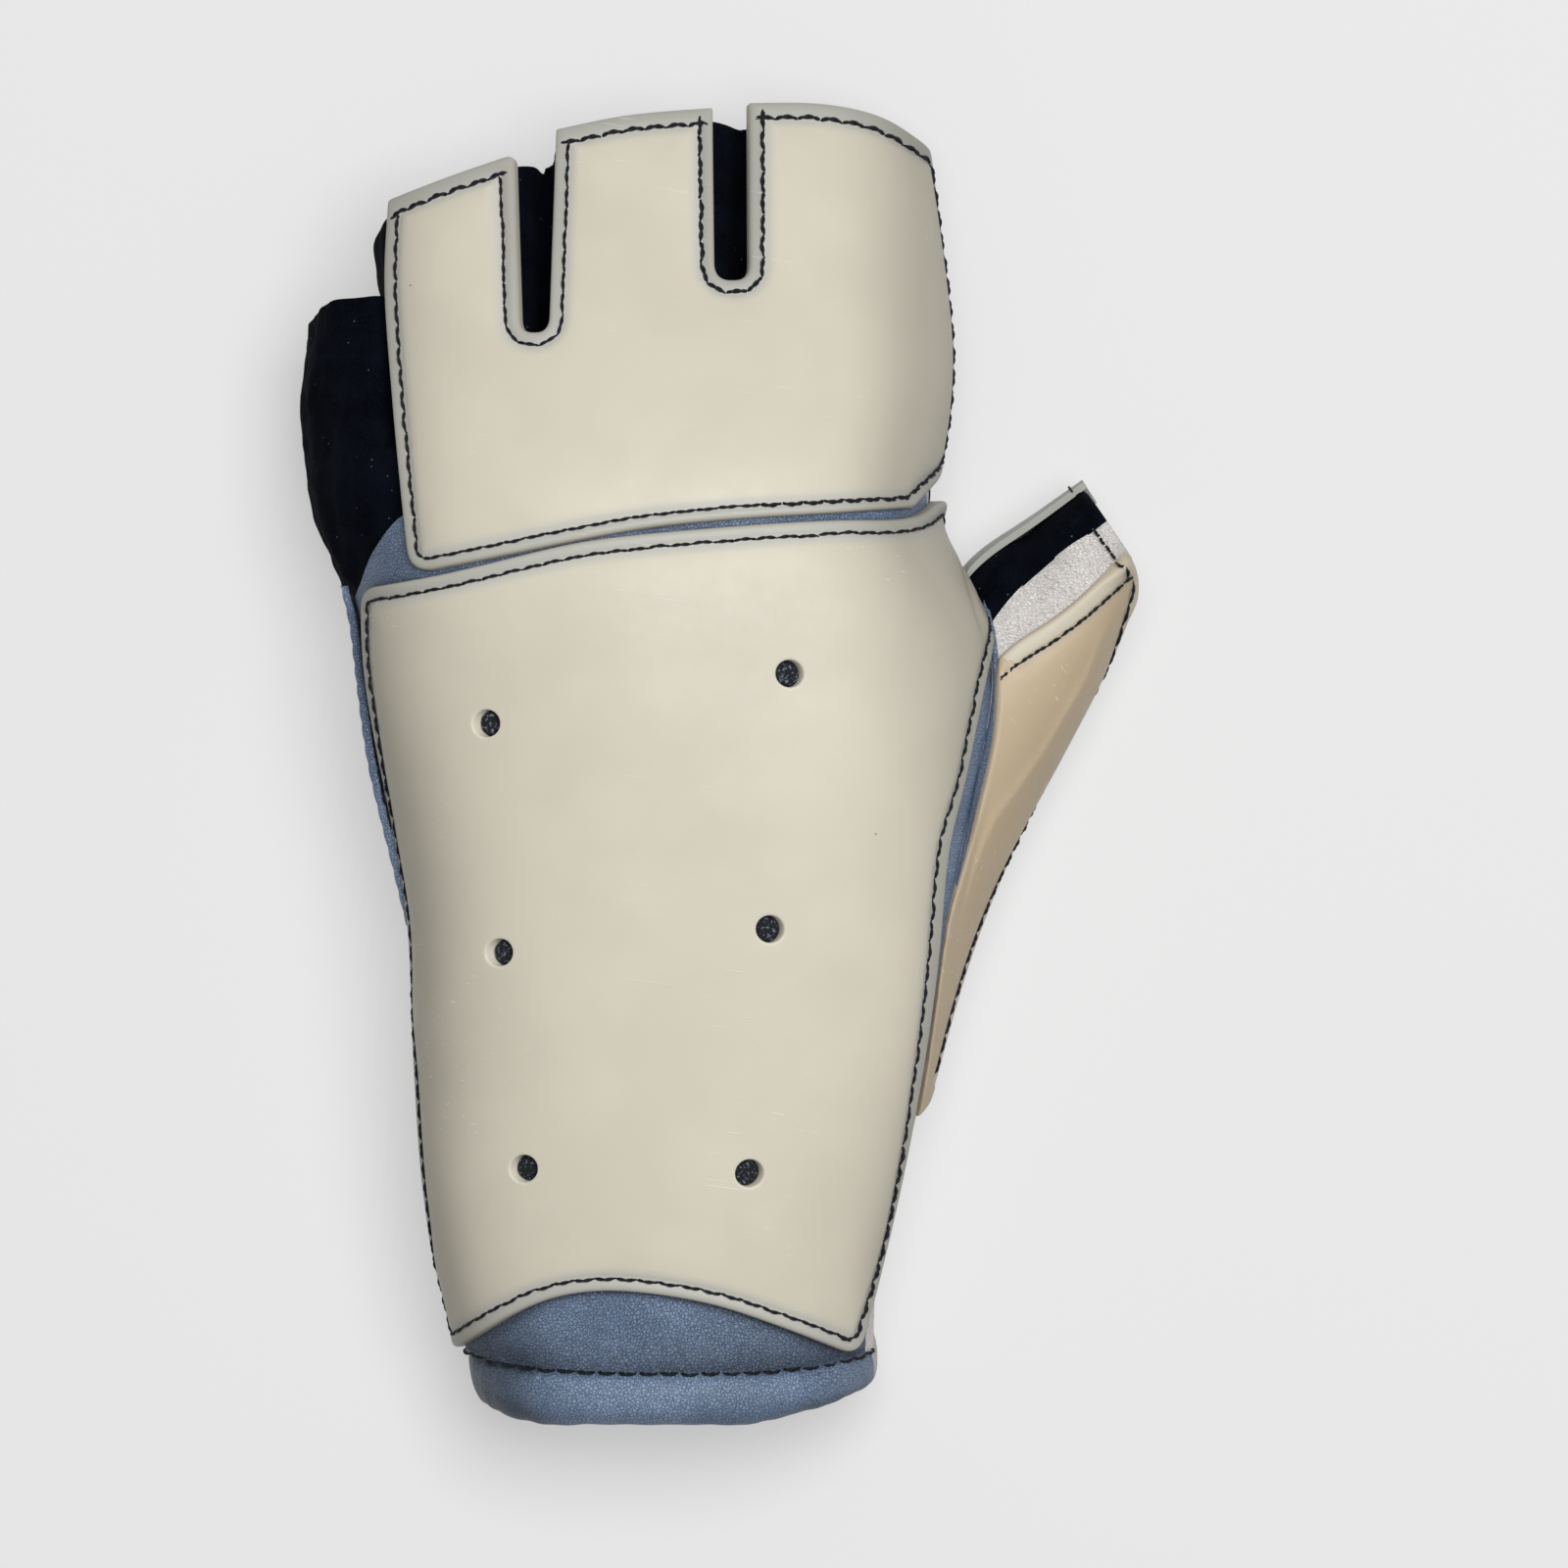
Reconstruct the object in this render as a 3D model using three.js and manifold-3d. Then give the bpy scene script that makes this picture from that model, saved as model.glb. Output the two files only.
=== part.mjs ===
// A left shooting glove, lying palm down: a leather hand with half-finger fabric sleeves, a padded cuff, and moulded
// plates stitched over the knuckles, the back of the hand and the thumb. Millimetres. +Z is up through the back of the
// hand, +Y points along the fingers, +X points to the thumb, and z = 0 is the surface that the palm rests on.
import * as THREE from "three";
import { mergeVertices } from "three/addons/utils/BufferGeometryUtils.js";
import Module from "manifold-3d";

const wasm = await Module();
wasm.setup();

// Walls and clearances.
const GAP = 0.3;
const LEATHER = 1.5;
const FABRIC = 1.5;
const PLATE = 2.0;
const LINING = 1.0;
const VENT_RADIUS = 2.5;

// How square each section is: the power of the sine and cosine round the back and the palm of the hand, and round a
// finger. 1 is an ellipse, and less is squarer.
const BACK_POWER = 0.83;
const PALM_POWER = 0.6;
const FINGER_POWER = 0.74;

// The hand's sections. station: place along the hand. middle: x of the ridge. left, right: half widths on the little
// finger's and the thumb's side. top, side, bottom: heights of the ridge, of the widest line and of the palm, where a
// bottom below 0 is flattened on the surface. lean: how far a section leans along Y for each millimetre below the ridge.
const HAND_COLUMNS = { station: 0, middle: 1, left: 2, right: 3, top: 4, side: 5, bottom: 6, lean: 7 };
const HAND = [
  [-126, -8.6, 36.4, 36.0, 37.0, 19.0, -1.0, 0.3],
  [-116, -8.6, 37.9, 36.8, 38.8, 19.5, -2.0, 0.3],
  [-106, -9.0, 39.2, 37.2, 41.0, 20.0, -3.0, 0.28],
  [-94, -10.0, 41.2, 39.3, 43.5, 21.0, -3.0, 0.22],
  [-76, -9.8, 43.8, 43.8, 46.5, 22.0, -3.0, 0.12],
  [-58, -9.2, 45.4, 47.2, 49.0, 23.0, -3.0, 0.05],
  [-40, -8.6, 46.2, 50.0, 51.0, 24.0, -3.0, 0],
  [-22, -8.5, 48.2, 52.8, 53.0, 24.5, -3.0, 0],
  [-4, -8.5, 51.8, 56.0, 55.0, 25.0, -3.0, 0],
  [14, -8.8, 56.4, 59.3, 56.2, 25.0, -3.0, -0.03],
  [32, -9.0, 59.5, 55.4, 57.0, 25.0, -3.0, -0.1],
  [46, -9.0, 65.0, 48.5, 56.0, 24.5, -3.0, -0.2],
  [60, -9.0, 67.6, 51.5, 52.8, 24.0, -1.0, -0.3],
  [80, -9.0, 68.0, 51.6, 46.0, 22.0, 4.0, -0.36],
  [100, -10.0, 67.0, 49.6, 39.0, 20.0, 4.0, -0.36],
  [124, -10.6, 65.0, 46.6, 31.0, 17.0, 3.0, -0.36],
];

// Where the leather ends and the finger fabric starts, by the angle round the hand in degrees from the ridge.
const LEATHER_END_COLUMNS = { angle: 0, station: 1 };
const LEATHER_END = [
  [-180, 42],
  [-130, 35],
  [-95, 32.5],
  [-75, 35],
  [-60, 42],
  [-45, 48],
  [0, 48],
  [90, 48],
  [140, 46],
  [180, 42],
];
const RIGHT_SEAM_DEG = 84;
const LEFT_SEAM_DEG = -84;
// Every wall round the hand has its edges at multiples of this angle and at these stations, so that the gaps between
// the walls stay even. The leather's own wall has the rings from LEATHER_FIRST to LEATHER_LAST. The thumb's walls have
// steps of their own.
const STEP_DEG = 12;
const RINGS = [-130, -112, -92, -68, -44, -20, 2, 18, 32, 46, 62, 80, 96, 112, 130];
const LEATHER_FIRST = 1;
const LEATHER_LAST = 10;
const THUMB_STEP_DEG = 12;
const THUMB_RINGS = 10;
const SEAM_GAP_DEG = 0.5;
const THUMB_SEAM_GAP_DEG = 1.5;

// The finger sleeves: the x where each begins and ends, at stations along the hand. Each stands between the
// little finger's side and the thumb's side of its own column, and ends at its last station.
const FINGER_COLUMNS = { station: 0, from: 1, to: 2 };
const FINGERS = {
  pinky_sleeve: [
    [40, -72.0, -52.0],
    [60, -76.6, -56.6],
    [75, -77.0, -57.4],
    [88, -75.4, -58.4],
  ],
  ring_sleeve: [
    [50, -55.4, -32.4],
    [80, -56.6, -32.4],
    [92, -60.6, -32.6],
    [102, -62.4, -32.8],
    [110, -61.6, -33.0],
  ],
  middle_sleeve: [
    [50, -32.0, 3.6],
    [90, -32.0, 3.6],
    [117.5, -30.4, 3.4],
  ],
  index_sleeve: [
    [50, 4.0, 40.0],
    [64, 4.0, 41.8],
    [80, 4.0, 41.6],
    [100, 4.0, 38.6],
    [120, 4.6, 35.8],
  ],
};
// How far the sleeves stay below the hand's back and above its underside, and their widest line's share of its height.
const FINGER_DROP = 0.4;
const FINGER_RISE = 1.0;
const FINGER_SIDE = 0.9;
const PINKY_WEB = 60;
const PINKY_END = 90;
const FINGER_WEB = 74;
const PINKY_PART_X = -57;
const RING_PART_X = -32.2;
const INDEX_PART_X = 3.8;

// Plate outlines seen from above: x, y and the radius of a corner. A row of radius 0 lies on a smooth edge.
const OUTLINE_COLUMNS = { x: 0, y: 1, radius: 2 };
const OUTLINE_STEP = 10;
const LAYER_REACH_DEG = 100;
const KNUCKLE_OUTLINE = [
  [-61.0, 103.4, 0.8],
  [-50.0, 107.7, 0],
  [-37.8, 111.9, 2.0],
  [-36.7, 79.0, 2.8],
  [-31.5, 79.0, 2.8],
  [-30.2, 116.4, 0.4],
  [-17.0, 119.1, 0],
  [-1.4, 120.4, 0.4],
  [-1.0, 88.6, 3.2],
  [5.3, 88.6, 3.2],
  [5.2, 121.3, 0.4],
  [18.9, 121.2, 0],
  [30.0, 118.7, 0],
  [38.2, 112.9, 2.5],
  [41.0, 97.8, 0],
  [43.3, 80.0, 0],
  [43.7, 64.0, 0],
  [41.6, 55.0, 0],
  [35.4, 46.8, 0.8],
  [20.7, 45.8, 0],
  [2.7, 44.7, 0],
  [-15.3, 42.8, 0],
  [-42.3, 37.5, 0],
  [-56.9, 34.6, 5.0],
  [-58.6, 50.0, 0],
  [-60.3, 68.0, 0],
  [-61.7, 88.0, 0],
];
const HAND_OUTLINE = [
  [-65.9, 31.9, 4.5],
  [-51.3, 34.5, 0],
  [-42.3, 36.6, 0],
  [-24.3, 40.7, 0],
  [2.7, 43.4, 0],
  [20.7, 44.5, 0],
  [34.6, 44.9, 0],
  [40.4, 49.0, 1.8],
  [44.1, 39.3, 0],
  [47.9, 32.1, 0],
  [49.5, 23.5, 0],
  [48.4, 14.1, 0],
  [44.6, -4.0, 0],
  [42.3, -16.0, 0],
  [40.7, -34.5, 0],
  [38.3, -51.2, 0],
  [34.4, -71.9, 0],
  [29.0, -95.0, 0],
  [25.3, -109.2, 4.5],
  [9.0, -102.9, 0],
  [-3.1, -99.1, 0],
  [-20.9, -96.9, 0],
  [-32.8, -98.9, 0],
  [-49.0, -107.8, 2.5],
  [-52.2, -91.9, 0],
  [-54.6, -75.3, 0],
  [-56.0, -53.4, 0],
  [-57.0, -30.3, 0],
  [-60.0, -11.3, 0],
  [-62.9, 3.0, 0],
  [-65.3, 18.1, 0],
];
const LINING_OUTLINE = [
  [-52, 24, 6],
  [24, 26, 6],
  [20, -84, 6],
  [-44, -84, 6],
];
const VENTS = [
  { x: -42.2, y: 7.2 },
  { x: 12.4, y: 16.3 },
  { x: -39.8, y: -34.8 },
  { x: 8.8, y: -30.5 },
  { x: -35.5, y: -74.4 },
  { x: 5.0, y: -75.2 },
];

// The thumb's sections, from inside the palm to the open tip. Each spans from a point on the side that faces the index
// finger to a point on the outer side, round a centre height.
const THUMB_COLUMNS = { innerX: 0, innerY: 1, outerX: 2, outerY: 3, height: 4, half: 5 };
const THUMB = [
  [24.0, -52.0, 35.2, -66.0, 19.0, 8.0],
  [24.0, -32.0, 40.4, -47.0, 17.5, 13.5],
  [27.0, 0.0, 47.2, -27.0, 16.0, 15.6],
  [35.0, 22.0, 54.1, -11.0, 15.6, 15.6],
  [46.1, 36.1, 62.4, 5.0, 15.0, 15.0],
  [56.3, 43.0, 71.0, 21.1, 14.8, 14.2],
  [66.0, 49.8, 75.6, 35.9, 15.6, 12.6],
];
const THUMB_SPLIT_DEG = 108;
const THUMB_UNDER_SPLIT_DEG = 264;
const THUMB_WALL_RING = 1;
const THUMB_PLATE_OUTLINE = [
  [51.3, 19.6, 1.2],
  [72.9, 36.1, 0],
  [75.1, 38.9, 1.2],
  [88.0, 20.0, 0],
  [75.0, -15.0, 0],
  [60.0, -52.0, 0],
  [46.0, -80.0, 2],
  [35.4, -71.5, 1.5],
  [39.3, -55.0, 0],
  [41.8, -33.5, 0],
  [44.3, -19.2, 0],
  [47.3, -6.6, 0],
  [50.4, 7.5, 0],
];
const THUMB_OUTLINE_STEP = 6;
const THUMB_PLATE_FLOOR = 11;
const THUMB_PLATE_FLOOR_SLOPE = 0.09;
const INNER_PLATE = { fromDeg: 156, toDeg: 240, ring: 6 };

// The padded roll round the wrist, and the stitched seam edge on the little finger's side.
const ROLL = { station: -116.9, half: 4.9, proud: 2.7, inside: 4.2 };
const WELT_COLUMNS = { station: 0, width: 1 };
const WELT = [
  [-36, 0.8],
  [-22, 3.0],
  [-4, 3.4],
  [14, 2.0],
  [26, 1.6],
  [31, 1.2],
];
const WELT_THICKNESS = 2.6;
const WELT_GAP = 0.5;

const radians = THREE.MathUtils.degToRad;

// A table's column at a place, as a smooth curve through its rows: each stretch is a cubic whose slope at a row is that
// of the line through the rows on either side.
function along(rows, place, column) {
  const last = rows.length - 1;
  let i = 0;
  while (i < last - 1 && place > rows[i + 1][0]) i++;
  const slope = (k) => {
    const a = rows[Math.max(k - 1, 0)];
    const b = rows[Math.min(k + 1, last)];
    return (b[column] - a[column]) / (b[0] - a[0]);
  };
  const [p, q] = [rows[i], rows[i + 1]];
  const step = q[0] - p[0];
  const f = THREE.MathUtils.clamp((place - p[0]) / step, 0, 1);
  const [f2, f3] = [f * f, f * f * f];
  return (
    (2 * f3 - 3 * f2 + 1) * p[column] +
    (f3 - 2 * f2 + f) * step * slope(i) +
    (3 * f2 - 2 * f3) * q[column] +
    (f3 - f2) * step * slope(i + 1)
  );
}

const hand = (station, name) => along(HAND, station, HAND_COLUMNS[name]);
const power = (value, exponent) => Math.sign(value) * Math.abs(value) ** exponent;

// A point of the hand's form: angle from the ridge, positive to the thumb, station along the hand, and distance out
// from the leather's outer face. The underside is flat, no lower than floor.
function handPoint(angle, station, out = 0, floor = Math.max(-out, 0)) {
  const [s, c] = [Math.sin(angle), Math.cos(angle)];
  const top = hand(station, "top");
  const side = hand(station, "side");
  const half = hand(station, s < 0 ? "left" : "right") + out;
  const x = hand(station, "middle") + half * power(s, c > 0 ? BACK_POWER : PALM_POWER);
  const up = side + (top - side + out) * power(Math.max(c, 0), BACK_POWER);
  const down = side - (side - hand(station, "bottom") + out) * power(Math.max(-c, 0), PALM_POWER);
  const z = Math.max(c > 0 ? up : down, floor);
  return new THREE.Vector3(x, station + hand(station, "lean") * (top - z), z);
}

// The angle and station of the point of the hand's back that lies at x, y seen from above, found by repeating: the
// height at x gives the lean, and the lean gives the station.
function onBack(x, y, out) {
  let station = y;
  let angle = 0;
  for (let i = 0; i < 24; i++) {
    const across = x - hand(station, "middle");
    const half = hand(station, across < 0 ? "left" : "right") + out;
    const share = THREE.MathUtils.clamp(across / half, -0.9995, 0.9995);
    angle = Math.asin(power(share, 1 / BACK_POWER));
    const z = handPoint(angle, station, out).z;
    station = y - hand(station, "lean") * (hand(station, "top") - z);
  }
  return { angle, station };
}

// A closed solid from vertices and triangles.
function solidFrom(points, triangles) {
  const geometry = new THREE.BufferGeometry().setFromPoints(points);
  geometry.setIndex(triangles.flat());
  return solidOf(geometry);
}

function solidOf(geometry) {
  const bare = geometry.clone();
  bare.deleteAttribute("normal");
  bare.deleteAttribute("uv");
  const merged = mergeVertices(bare, 1e-4);
  const solid = new wasm.Manifold(
    new wasm.Mesh({
      numProp: 3,
      vertProperties: new Float32Array(merged.attributes.position.array),
      triVerts: new Uint32Array(merged.index.array),
    }),
  );
  return solid;
}

// The two triangles of each cell of a grid of points, row by row. Both ways round may close on themselves.
function gridTriangles(across, rows, wrapAcross, wrapRows, first = 0, turned = false) {
  const faces = [];
  const stepsAcross = wrapAcross ? across : across - 1;
  const stepsRows = wrapRows ? rows : rows - 1;
  for (let j = 0; j < stepsRows; j++)
    for (let i = 0; i < stepsAcross; i++) {
      const at = (a, b) => first + ((b % rows) * across + (a % across));
      const [p, q, r, s] = [at(i, j), at(i + 1, j), at(i + 1, j + 1), at(i, j + 1)];
      faces.push(turned ? [p, r, q] : [p, q, r], turned ? [p, s, r] : [p, r, s]);
    }
  return faces;
}

// A solid tube: ring(angle, share) gives its points, the rings run from share 0 to 1, and each end is closed by a fan.
function tube(ring, sides, rings) {
  const points = [];
  for (let j = 0; j < rings; j++)
    for (let i = 0; i < sides; i++) points.push(ring((2 * Math.PI * i) / sides, j / (rings - 1)));
  const faces = gridTriangles(sides, rings, true, false);
  const centreOf = (row) => {
    const ringPoints = points.slice(row * sides, (row + 1) * sides);
    return ringPoints.reduce((sum, p) => sum.add(p), new THREE.Vector3()).divideScalar(sides);
  };
  points.push(centreOf(0), centreOf(rings - 1));
  const [start, end] = [points.length - 2, points.length - 1];
  const lastRow = (rings - 1) * sides;
  for (let i = 0; i < sides; i++) {
    const next = (i + 1) % sides;
    faces.push([start, next, i], [end, lastRow + i, lastRow + next]);
  }
  return outward(points, faces);
}

// A ring that closes both ways, such as a padded roll.
function torus(point, sides, steps) {
  const points = [];
  for (let j = 0; j < steps; j++)
    for (let i = 0; i < sides; i++)
      points.push(point((2 * Math.PI * i) / sides, (2 * Math.PI * j) / steps));
  return outward(points, gridTriangles(sides, steps, true, true));
}

// A sheet with thickness: face(u, w, out) gives its points for u and w from 0 to 1, at the two distances out.
function sheet(face, across, rows, inner, outer) {
  const points = [];
  for (const out of [outer, inner])
    for (let j = 0; j < rows; j++)
      for (let i = 0; i < across; i++) points.push(face(i / (across - 1), j / (rows - 1), out));
  const count = across * rows;
  const faces = [
    ...gridTriangles(across, rows, false, false),
    ...gridTriangles(across, rows, false, false, count, true),
  ];
  const border = [];
  for (let i = 0; i < across - 1; i++) border.push(i);
  for (let j = 0; j < rows - 1; j++) border.push(j * across + across - 1);
  for (let i = across - 1; i > 0; i--) border.push((rows - 1) * across + i);
  for (let j = rows - 1; j > 0; j--) border.push(j * across);
  border.forEach((p, k) => {
    const q = border[(k + 1) % border.length];
    faces.push([q, p, p + count], [q, p + count, q + count]);
  });
  return outward(points, faces);
}

// A solid from faces that all turn the same way: turned round if they point inwards.
function outward(points, faces) {
  const volume = faces.reduce((sum, [a, b, c]) => {
    return sum + points[a].dot(new THREE.Vector3().crossVectors(points[b], points[c]));
  }, 0);
  return solidFrom(points, volume < 0 ? faces.map(([a, b, c]) => [a, c, b]) : faces);
}

// The points of an outline table: a smooth curve between each two corners, and a curve of the corner's radius at it.
function outlinePoints(rows, step) {
  const corners = rows.flatMap((row, i) => (row[OUTLINE_COLUMNS.radius] > 0 ? [i] : []));
  const edges = corners.map((first, k) => {
    const next = corners[(k + 1) % corners.length];
    const count = ((next - first + rows.length) % rows.length) + 1;
    const through = Array.from({ length: count }, (_, n) => {
      const row = rows[(first + n) % rows.length];
      return new THREE.Vector2(row[OUTLINE_COLUMNS.x], row[OUTLINE_COLUMNS.y]);
    });
    const curve = new THREE.SplineCurve(through);
    const points = curve.getSpacedPoints(Math.max(2, Math.round(curve.getLength() / step)));
    const [a, b] = [rows[first][OUTLINE_COLUMNS.radius], rows[next][OUTLINE_COLUMNS.radius]];
    const from = curve.getPointAt(Math.min(0.45, a / curve.getLength()));
    const to = curve.getPointAt(Math.max(0.55, 1 - b / curve.getLength()));
    const kept = points.filter(
      (p) => p.distanceTo(through[0]) > 1.3 * a && p.distanceTo(through.at(-1)) > 1.3 * b,
    );
    return { points: [from, ...kept, to], corner: through.at(-1), radius: b };
  });
  return edges.flatMap(({ points, corner, radius }, k) => {
    const next = edges[(k + 1) % edges.length].points[0];
    const bend = new THREE.QuadraticBezierCurve(points.at(-1), corner, next);
    const parts = radius > 2 ? 4 : 2;
    return [...points, ...bend.getPoints(parts).slice(1, -1)];
  });
}

// What a closed outline on the hand's back cuts through the walls along their own normals: a wall from inside the
// leather to outside the plates, closed by a cone above and one below.
function backCutter(rows, step, out) {
  const ring = outlinePoints(rows, step).map((p) => onBack(p.x, p.y, out));
  const outer = ring.map(({ angle, station }) => handPoint(angle, station, 8, -20));
  const inner = ring.map(({ angle, station }) => handPoint(angle, station, -6, -20));
  const count = ring.length;
  const points = [...outer, ...inner, new THREE.Vector3(-8, 0, 400), new THREE.Vector3(-8, 0, 0)];
  const faces = [];
  for (let i = 0; i < count; i++) {
    const next = (i + 1) % count;
    faces.push([i, next, 2 * count], [i, count + i, count + next], [i, count + next, next]);
    faces.push([count + i, 2 * count + 1, count + next]);
  }
  return outward(points, faces);
}

// A vertical prism on a plan outline. Its base is at floor, and rises by slope for each millimetre towards -Y.
function prism(points, floor, height, slope = 0) {
  const shape = new THREE.Shape(points);
  const geometry = new THREE.ExtrudeGeometry(shape, { depth: height, bevelEnabled: false, steps: 1 });
  const position = geometry.attributes.position;
  for (let i = 0; i < position.count; i++)
    position.setZ(i, position.getZ(i) + floor - slope * position.getY(i));
  return solidOf(geometry);
}

// A block between two x values, larger than the glove the other ways.
function slab(fromX, toX) {
  const block = new THREE.BoxGeometry(toX - fromX, 400, 200);
  return solidOf(block.translate((fromX + toX) / 2, 0, 0));
}

const joined = (solids) => solids.reduce((a, b) => a.add(b));
// The largest body of a solid, without the slivers that a cut leaves.
const largest = (solid) => solid.decompose().sort((a, b) => b.volume() - a.volume())[0];
const mix = THREE.MathUtils.lerp;

// The hand's form as a solid, out from the leather's outer face, through a list of stations.
function handSolid(out, stations, floor = undefined) {
  const ring = (angle, share) => handPoint(angle, stations[Math.round(share * (stations.length - 1))], out, floor);
  return tube(ring, 360 / STEP_DEG, stations.length);
}

const leatherEnd = (angle) => {
  const degrees = THREE.MathUtils.radToDeg(Math.atan2(Math.sin(angle), Math.cos(angle)));
  return along(LEATHER_END, degrees, LEATHER_END_COLUMNS.station);
};

// The thick band round the hand that reaches from the cuff to the line where the leather ends, and beyond it.
function leatherZone(beyond) {
  const half = (fromDeg, toDeg) => {
    const face = (u, w, out) => {
      const angle = radians(mix(fromDeg, toDeg, u));
      return handPoint(angle, mix(RINGS[LEATHER_FIRST] - 10, leatherEnd(angle) + beyond, w), out, -20);
    };
    return sheet(face, (toDeg - fromDeg) / STEP_DEG + 1, 10, -6, 6);
  };
  return half(-96, 96).add(half(84, 276));
}

// A panel of the leather hand between two angles, from the cuff to the line where the finger fabric starts.
function handPanel(fromDeg, toDeg) {
  const steps = Math.round((toDeg - fromDeg) / STEP_DEG);
  const [low, high] = [fromDeg + SEAM_GAP_DEG / 2, toDeg - SEAM_GAP_DEG / 2];
  const face = (u, w, out) => {
    const degrees = THREE.MathUtils.clamp(mix(fromDeg, toDeg, u), low, high);
    return handPoint(radians(degrees), RINGS[Math.round(mix(LEATHER_FIRST, LEATHER_LAST, w))], out);
  };
  return sheet(face, steps + 1, LEATHER_LAST - LEATHER_FIRST + 1, -LEATHER, 0).intersect(leatherZone(0));
}

// Vent holes: short rods that stand square to the hand's back.
function ventRods() {
  return joined(
    VENTS.map(({ x, y }) => {
      const { angle, station } = onBack(x, y, PLATE);
      const foot = handPoint(angle, station, -LEATHER);
      const head = handPoint(angle, station, PLATE + GAP);
      const direction = head.clone().sub(foot).normalize();
      const rod = new THREE.CylinderGeometry(VENT_RADIUS, VENT_RADIUS, 16, 10);
      rod.applyQuaternion(new THREE.Quaternion().setFromUnitVectors(new THREE.Vector3(0, 1, 0), direction));
      rod.translate(...foot.lerp(head, 0.5).toArray());
      return solidOf(rod);
    }),
  );
}

// The thumb's form: round each section from the outer side over the top to the inner side.
function thumbPoint(angle, share, out = 0) {
  const place = share * (THUMB.length - 1);
  const numbered = THUMB.map((row, i) => [i, ...row]);
  const [innerX, innerY, outerX, outerY, height, half] = Object.values(THUMB_COLUMNS).map((column) =>
    along(numbered, place, column + 1),
  );
  const inner = new THREE.Vector3(innerX, innerY, 0);
  const outer = new THREE.Vector3(outerX, outerY, 0);
  const radius = outer.clone().sub(inner).multiplyScalar(0.5);
  const middle = inner.add(radius);
  radius.setLength(radius.length() + out);
  const z = Math.max(height + (half + out) * power(Math.sin(angle), 0.9), Math.max(-out, 0));
  return middle.addScaledVector(radius, power(Math.cos(angle), 0.9)).setZ(z);
}

// The thumb's form as a solid, which can go on past the open tip by a length beyond, along the thumb.
function thumbSolid(out, beyond = 0) {
  const last = THUMB.at(-1);
  const across = [
    last[THUMB_COLUMNS.outerX] - last[THUMB_COLUMNS.innerX],
    last[THUMB_COLUMNS.outerY] - last[THUMB_COLUMNS.innerY],
  ];
  const onward = new THREE.Vector3(-across[1], across[0], 0).setLength(beyond);
  const steps = beyond > 0 ? THUMB_RINGS + 1 : THUMB_RINGS;
  const ring = (angle, share) => {
    const step = Math.round(share * steps);
    const point = thumbPoint(angle, Math.min(step / THUMB_RINGS, 1), out);
    return step > THUMB_RINGS ? point.add(onward) : point;
  };
  return tube(ring, 360 / THUMB_STEP_DEG, steps + 1);
}

// A part of the thumb's wall between two angles, from one of its rings to the open tip.
function thumbPanel(fromDeg, toDeg, firstRing, inner, outer) {
  const [low, high] = [fromDeg + THUMB_SEAM_GAP_DEG / 2, toDeg - THUMB_SEAM_GAP_DEG / 2];
  const face = (u, w, out) => {
    const degrees = THREE.MathUtils.clamp(mix(fromDeg, toDeg, u), low, high);
    return thumbPoint(radians(degrees), mix(firstRing / THUMB_RINGS, 1, w), out);
  };
  const across = Math.round((toDeg - fromDeg) / THUMB_STEP_DEG) + 1;
  return sheet(face, across, THUMB_RINGS - firstRing + 1, inner, outer);
}

// The height of the hand's back above x at a station.
function backHeight(x, station) {
  const across = x - hand(station, "middle");
  const share = THREE.MathUtils.clamp(across / hand(station, across < 0 ? "left" : "right"), -1, 1);
  return handPoint(Math.asin(power(share, 1 / BACK_POWER)), station).z;
}

// A finger sleeve's form: a squarish oval whose upper half follows the hand's back just below it.
function fingerSolid(rows, out, from, to) {
  const ring = (angle, share) => {
    const station = mix(from, to, share);
    const low = along(rows, station, FINGER_COLUMNS.from);
    const high = along(rows, station, FINGER_COLUMNS.to);
    const x = (low + high) / 2 + ((high - low) / 2 + out) * power(Math.sin(angle), FINGER_POWER);
    const side = hand(station, "side") * FINGER_SIDE;
    const crown = backHeight(x, station) - FINGER_DROP;
    const base = Math.max(hand(station, "bottom"), 0) + FINGER_RISE;
    const reach = Math.cos(angle) > 0 ? crown - side : side - base;
    const z = side + (reach + out) * power(Math.cos(angle), FINGER_POWER);
    return new THREE.Vector3(x, station + hand(station, "lean") * (hand(station, "top") - z), z);
  };
  return tube(ring, 14, 4);
}

// The fabric of all four fingers and of the band that joins them to the leather: the outer form less the inner one.
function fingerFabric() {
  const tip = (rows) => rows.at(-1)[FINGER_COLUMNS.station];
  const form = (out, beyond) => {
    const band = handSolid(out, [...RINGS.filter((y) => y > 10 && y < 50), PINKY_WEB + out]);
    const knuckles = handSolid(out, [...RINGS.filter((y) => y > 40 && y < 70), FINGER_WEB + out]).intersect(
      slab(PINKY_PART_X - out, 90),
    );
    const sleeves = Object.values(FINGERS).map((rows) =>
      fingerSolid(rows, out, rows[0][FINGER_COLUMNS.station], tip(rows) + beyond),
    );
    return joined([band, knuckles, ...sleeves]);
  };
  return form(0, 0).subtract(form(-FABRIC, 8)).subtract(leatherZone(GAP));
}

function sleeves() {
  const fabric = fingerFabric();
  const pinkyReach = RINGS.filter((y) => y < PINKY_END);
  const pinkySide = (grow) => {
    return handSolid(10, [...pinkyReach, PINKY_END + grow], -20).intersect(slab(-120, PINKY_PART_X + grow));
  };
  return [
    { name: "pinky_sleeve", solid: fabric.intersect(pinkySide(-GAP / 2)) },
    { name: "ring_sleeve", solid: fabric.intersect(slab(-120, RING_PART_X - GAP / 2)).subtract(pinkySide(GAP / 2)) },
    { name: "middle_sleeve", solid: fabric.intersect(slab(RING_PART_X + GAP / 2, INDEX_PART_X - GAP / 2)) },
    { name: "index_sleeve", solid: fabric.intersect(slab(INDEX_PART_X + GAP / 2, 120)) },
  ];
}

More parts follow.
